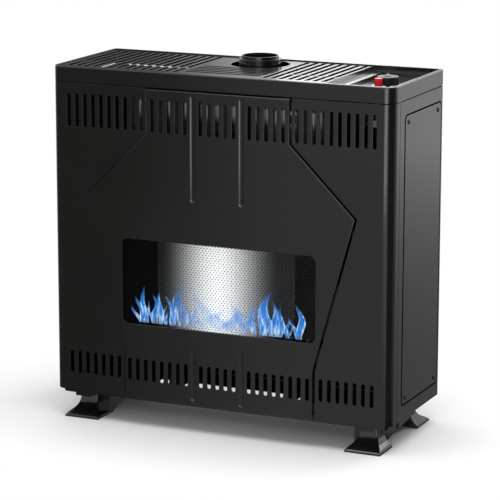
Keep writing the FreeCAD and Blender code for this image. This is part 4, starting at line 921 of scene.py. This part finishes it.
class HEATER_OT_hub(bpy.types.Operator):
    """Set a moulded hub into the middle of the knob's cap"""

    bl_idname = "heater.hub"
    bl_label = "Knob hub"

    def execute(self, context):
        low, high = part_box("knob_cap")
        middle, tall = (low + high) / 2, shape().hub_height
        hub = started("knob_hub", "cylinder", vertices=48, radius=shape().hub_radius,
                      depth=tall, location=(middle.x, middle.y, high.z + tall * HUB_LIFT_SHARE))
        round_rims(hub, tall * HUB_ROUND_SHARE)
        smooth(hub)
        keep(hub, "knob_black", body="knob")
        return {"FINISHED"}


# The baffle's air way: its left and right ends across the base, and its depth from the front
BAFFLE_ACROSS_SHARES, BAFFLE_DEPTH_SHARE = (0.2, 0.68), 0.6


class HEATER_OT_baffle(bpy.types.Operator):
    """Close the back and the sides of the base with a near-black sheet of painted shade, open under the
    burner
    """

    bl_idname = "heater.baffle"
    bl_label = "Base baffle"

    def execute(self, context):
        low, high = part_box("base_frame")
        inset = shape().baffle_inset
        left, right, near, far = low.x + inset, high.x - inset, low.y + inset, high.y - inset
        way_left, way_right = (left + (right - left) * part for part in BAFFLE_ACROSS_SHARES)
        way_back = near + (far - near) * BAFFLE_DEPTH_SHARE
        level = low.z + shape().baffle_rise
        strips = [
            self.strip((left, right), (way_back, far), level),
            self.strip((left, way_left), (near, way_back), level),
            self.strip((way_right, right), (near, way_back), level),
        ]
        baffle = joined(strips, "base_baffle")
        start_edit(baffle)
        bpy.ops.mesh.remove_doubles(threshold=LEVEL_WITHIN)
        end_edit()
        thicken(baffle, shape().screen_gauge)
        # Near-black: painted shade under the base, seen through the lower slots
        keep(baffle, "heat_steel")
        return {"FINISHED"}

    def strip(self, x, y, level):
        middle = ((x[0] + x[1]) / 2, (y[0] + y[1]) / 2, level)
        span = (x[1] - x[0], y[1] - y[0], 1.0)
        return started("baffle_strip", "plane", span, size=1.0, location=middle)


class HEATER_OT_gap_shades(bpy.types.Operator):
    """Lay a near-black strip of painted shade in the gap round each access cover"""

    bl_idname = "heater.seals"
    bl_label = "Cover seals"

    def execute(self, context):
        for side in ("left", "right"):
            low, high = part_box(f"{side}_access_cover")
            panel_low, panel_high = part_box(f"{side}_side_panel")
            lip, gap = shape().gap_shade_lip, shape().gap_shade_width
            level = panel_high.x + lip / 2 if side == "right" else panel_low.x - lip / 2
            middle = (level, (low.y + high.y) / 2, (low.z + high.z) / 2)
            span = (high.z - low.z + gap * 2, high.y - low.y + gap * 2, 1.0)
            seal = started(f"{side}_cover_seal", "plane", span, size=1.0,
                           location=middle, rotation=(0.0, QUARTER_TURN, 0.0))
            start_edit(seal)
            bpy.ops.mesh.bevel(offset=shape().gap_shade_round, segments=8, affect="VERTICES")
            bpy.ops.mesh.inset(thickness=gap)
            bpy.ops.mesh.delete(type="FACE")
            end_edit()
            thicken(seal, lip)
            # Painted shade: the strip stays near-black in the gap
            keep(seal, "pad_rubber", material=FINISHES["seal_rubber"])
        return {"FINISHED"}


SENSOR_WIDTH, VIEW_END, FLOOR_SIZE = 36.0, 200.0, 120.0
# The shadow's part of the floor: its squeeze along each axis, and where it turns white
SHADOW_SQUEEZE, SHADOW_ENDS = (0.5, 1.0, 1.0), (0.25, 0.5)
# The floor's tone in reflections: before the heater by x less a share of y, in two steps, each with its
# ends and its tones there; behind the heater by the square of y; and dark beside the right corner
FRONT_SLOPE, FRONT_STEPS = 0.446, ((-0.35, 0.3, 0.1, 0.52), (0.5, 1.4, 0.0, 0.48))
BEHIND_RISE, BEHIND_LEVEL, BEHIND_ENDS = 0.08, 0.24, (-0.1, 0.1)
CORNER_SLOPE, CORNER_ENDS, CORNER_DEPTH = 0.69, (0.24, 0.3), (-0.05, 0.1)
# Cards that only reflections see: place, turn, size, ends of the ramp across, and its two tones
CARDS = {
    "flag_back": ((-1.5, 3.5, 2.0), (QUARTER_TURN, 0.0, 0.0), (3.0, 3.0), (-0.5, 0.25), (0.1, 1.0)),
    "flag_right": (
        (0.95, -0.5, 0.6), (QUARTER_TURN, 0.0, QUARTER_TURN), (1.04, 1.2), (0.0, 1.0), (0.01, 0.01)),
}
# Lamps by the property that holds their power: place, the spot that they face, and size
LAMPS = {
    "key": ((0.56, -2.0, 0.75), (0.4, 0.0, 0.75), (1.0, 1.3)),
    "overhead": ((0.2, -0.3, 4.0), (0.2, -0.3, 0.0), (3.5, 3.5)),
    "side": ((1.3, 2.0, 1.5), (0.35, 0.0, 0.5), (0.8, 1.2)),
    "back": ((-1.05, 3.45, 1.53), (0.3, 0.0, 0.69), (0.7, 0.5)),
}


class HEATER_OT_stage(bpy.types.Operator):
    """Set the floor, the light and the camera"""

    bl_idname = "heater.stage"
    bl_label = "Stage"

    def execute(self, context):
        stage = context.scene.heater_stage
        self.camera(context, stage)
        self.floor()
        self.world(context, stage)
        for name, values in CARDS.items():
            self.card(name, *values)
        for name, values in LAMPS.items():
            self.lamp(context, name.title(), *values, getattr(stage, name))
        context.scene.view_settings.view_transform = "Standard"
        return {"FINISHED"}

    def camera(self, context, stage):
        camera = bpy.data.objects.new("Camera", bpy.data.cameras.new("Camera"))
        context.scene.collection.objects.link(camera)
        camera.location, camera.rotation_euler = stage.eye, stage.turn
        camera.data.sensor_width, camera.data.lens = SENSOR_WIDTH, stage.lens
        camera.data.clip_end = VIEW_END
        context.scene.camera = camera

    def floor(self):
        """Pale floor: it keeps the heater's shadow and is white further out."""
        floor = started("floor", "plane", size=FLOOR_SIZE)
        material, tree, _ = new_material(
            "floor", Base_Color=(*finish().floor, 1.0), Roughness=0.9, Specular_IOR_Level=0.1)
        away = add_node(tree, "ShaderNodeVectorMath", operation="LENGTH")
        tree.links.new(stretched(tree, object_coordinates(tree), SHADOW_SQUEEZE), away.inputs[0])
        far = remap(tree, away.outputs["Value"], *SHADOW_ENDS)
        ray = add_node(tree, "ShaderNodeLightPath").outputs
        seen = maths(tree, "MAXIMUM", ray["Is Camera Ray"], ray["Is Transmission Ray"])
        white, graded = add_node(tree, "ShaderNodeEmission"), add_node(tree, "ShaderNodeEmission")
        tree.links.new(self.mirrored_tone(tree), graded.inputs["Strength"])
        pale = first_node(tree, "BSDF_PRINCIPLED").outputs["BSDF"]
        open_floor = blend_shaders(tree, times(tree, far, seen), pale, white.outputs["Emission"])
        mirrored = blend_shaders(tree, ray["Is Glossy Ray"], open_floor, graded.outputs["Emission"])
        tree.links.new(mirrored, first_node(tree, "OUTPUT_MATERIAL").inputs["Surface"])
        floor.data.materials.append(material)

    def mirrored_tone(self, tree):
        """How bright the floor is in reflections."""
        at = axes(tree, object_coordinates(tree))
        across = maths(tree, "SUBTRACT", at["X"], times(tree, at["Y"], FRONT_SLOPE))
        before = plus(tree, *(remap(tree, across, *step) for step in FRONT_STEPS))
        squared = maths(tree, "POWER", maths(tree, "MAXIMUM", at["Y"], 0.0), 2.0)
        behind = maths(tree, "MINIMUM", plus(tree, times(tree, squared, BEHIND_RISE), BEHIND_LEVEL), 1.0)
        side = remap(tree, at["Y"], *BEHIND_ENDS)
        level = plus(tree, times(tree, before, rest_of(tree, side)), times(tree, behind, side))
        wedge = plus(tree, at["X"], times(tree, at["Y"], CORNER_SLOPE))
        beside = times(tree, remap(tree, wedge, *CORNER_ENDS), remap(tree, at["Y"], *CORNER_DEPTH, 1.0, 0.0))
        return times(tree, level, rest_of(tree, beside))

    def card(self, name, place, turn, size, ramp_ends, tones):
        """A card that only reflections see, graded from its left to its right."""
        card = started(name, "plane", (*size, 1.0), size=1.0)
        card.location, card.rotation_euler = place, turn
        material, tree, inputs = new_material(name, Emission_Strength=1.0, **UNLIT)
        ramp = remap(tree, axes(tree, object_coordinates(tree))["X"], *ramp_ends)
        darker, paler = (grey(tone) for tone in tones)
        paint(tree, inputs["Emission Color"], ramp, darker, paler)
        card.data.materials.append(material)
        card.visible_camera = card.visible_diffuse = card.visible_transmission = card.visible_shadow = False

    def world(self, context, stage):
        """Even light all round, which is white to the camera, in reflections and through glass."""
        world = bpy.data.worlds.new("Studio")
        context.scene.world = world
        world.use_nodes = True
        tree = world.node_tree
        even, white = first_node(tree, "BACKGROUND"), add_node(tree, "ShaderNodeBackground")
        even.inputs["Strength"].default_value = stage.ambient
        for light in (even, white):
            light.inputs["Color"].default_value = (1.0, 1.0, 1.0, 1.0)
        ray = add_node(tree, "ShaderNodeLightPath").outputs
        seen = maths(tree, "MAXIMUM", ray["Is Camera Ray"], ray["Is Glossy Ray"])
        seen = maths(tree, "MAXIMUM", seen, ray["Is Transmission Ray"])
        around = blend_shaders(tree, seen, even.outputs["Background"], white.outputs["Background"])
        tree.links.new(around, first_node(tree, "OUTPUT_WORLD").inputs["Surface"])

    def lamp(self, context, name, place, aim, size, strength):
        light = bpy.data.lights.new(name, "AREA")
        light.shape = "RECTANGLE"
        light.size, light.size_y = size
        light.energy = strength
        lamp = bpy.data.objects.new(name, light)
        context.scene.collection.objects.link(lamp)
        lamp.location = place
        lamp.rotation_euler = (Vector(aim) - Vector(place)).to_track_quat("-Z", "Y").to_euler()
        lamp.visible_camera = False


STEPS = (
    HEATER_OT_finishes, HEATER_OT_casing, HEATER_OT_screen, HEATER_OT_flames, HEATER_OT_screws, HEATER_OT_hub,
    HEATER_OT_baffle, HEATER_OT_gap_shades, HEATER_OT_stage,
)
GROUP_TYPES = {"heater_finish": HeaterFinish, "heater_shape": HeaterShape, "heater_stage": HeaterStage}


class HEATER_PT_panel(bpy.types.Panel):
    """The heater's pieces, in the order in which they are made"""

    bl_label = "Gas heater"
    bl_idname = "HEATER_PT_panel"
    bl_space_type = "VIEW_3D"
    bl_region_type = "UI"
    bl_category = "Heater"

    def draw(self, context):
        for step in STEPS:
            self.layout.operator(step.bl_idname)
        for name, group in GROUP_TYPES.items():
            box = self.layout.box()
            box.label(text=group.__doc__)
            for key in group.__annotations__:
                box.prop(getattr(context.scene, name), key)


CLASSES = (*GROUP_TYPES.values(), *STEPS, HEATER_PT_panel)


def register():
    for cls in CLASSES:
        bpy.utils.register_class(cls)
    for name, group in GROUP_TYPES.items():
        setattr(bpy.types.Scene, name, bpy.props.PointerProperty(type=group))


def unregister():
    for name in GROUP_TYPES:
        delattr(bpy.types.Scene, name)
    for cls in reversed(CLASSES):
        bpy.utils.unregister_class(cls)


def main():
    register()
    bpy.ops.heater.finishes()
    bpy.ops.heater.casing()
    bpy.ops.heater.screen()
    bpy.ops.heater.flames()
    bpy.ops.heater.screws()
    bpy.ops.heater.hub()
    bpy.ops.heater.baffle()
    bpy.ops.heater.seals()
    bpy.ops.heater.stage()


if __name__ == "__main__":
    main()
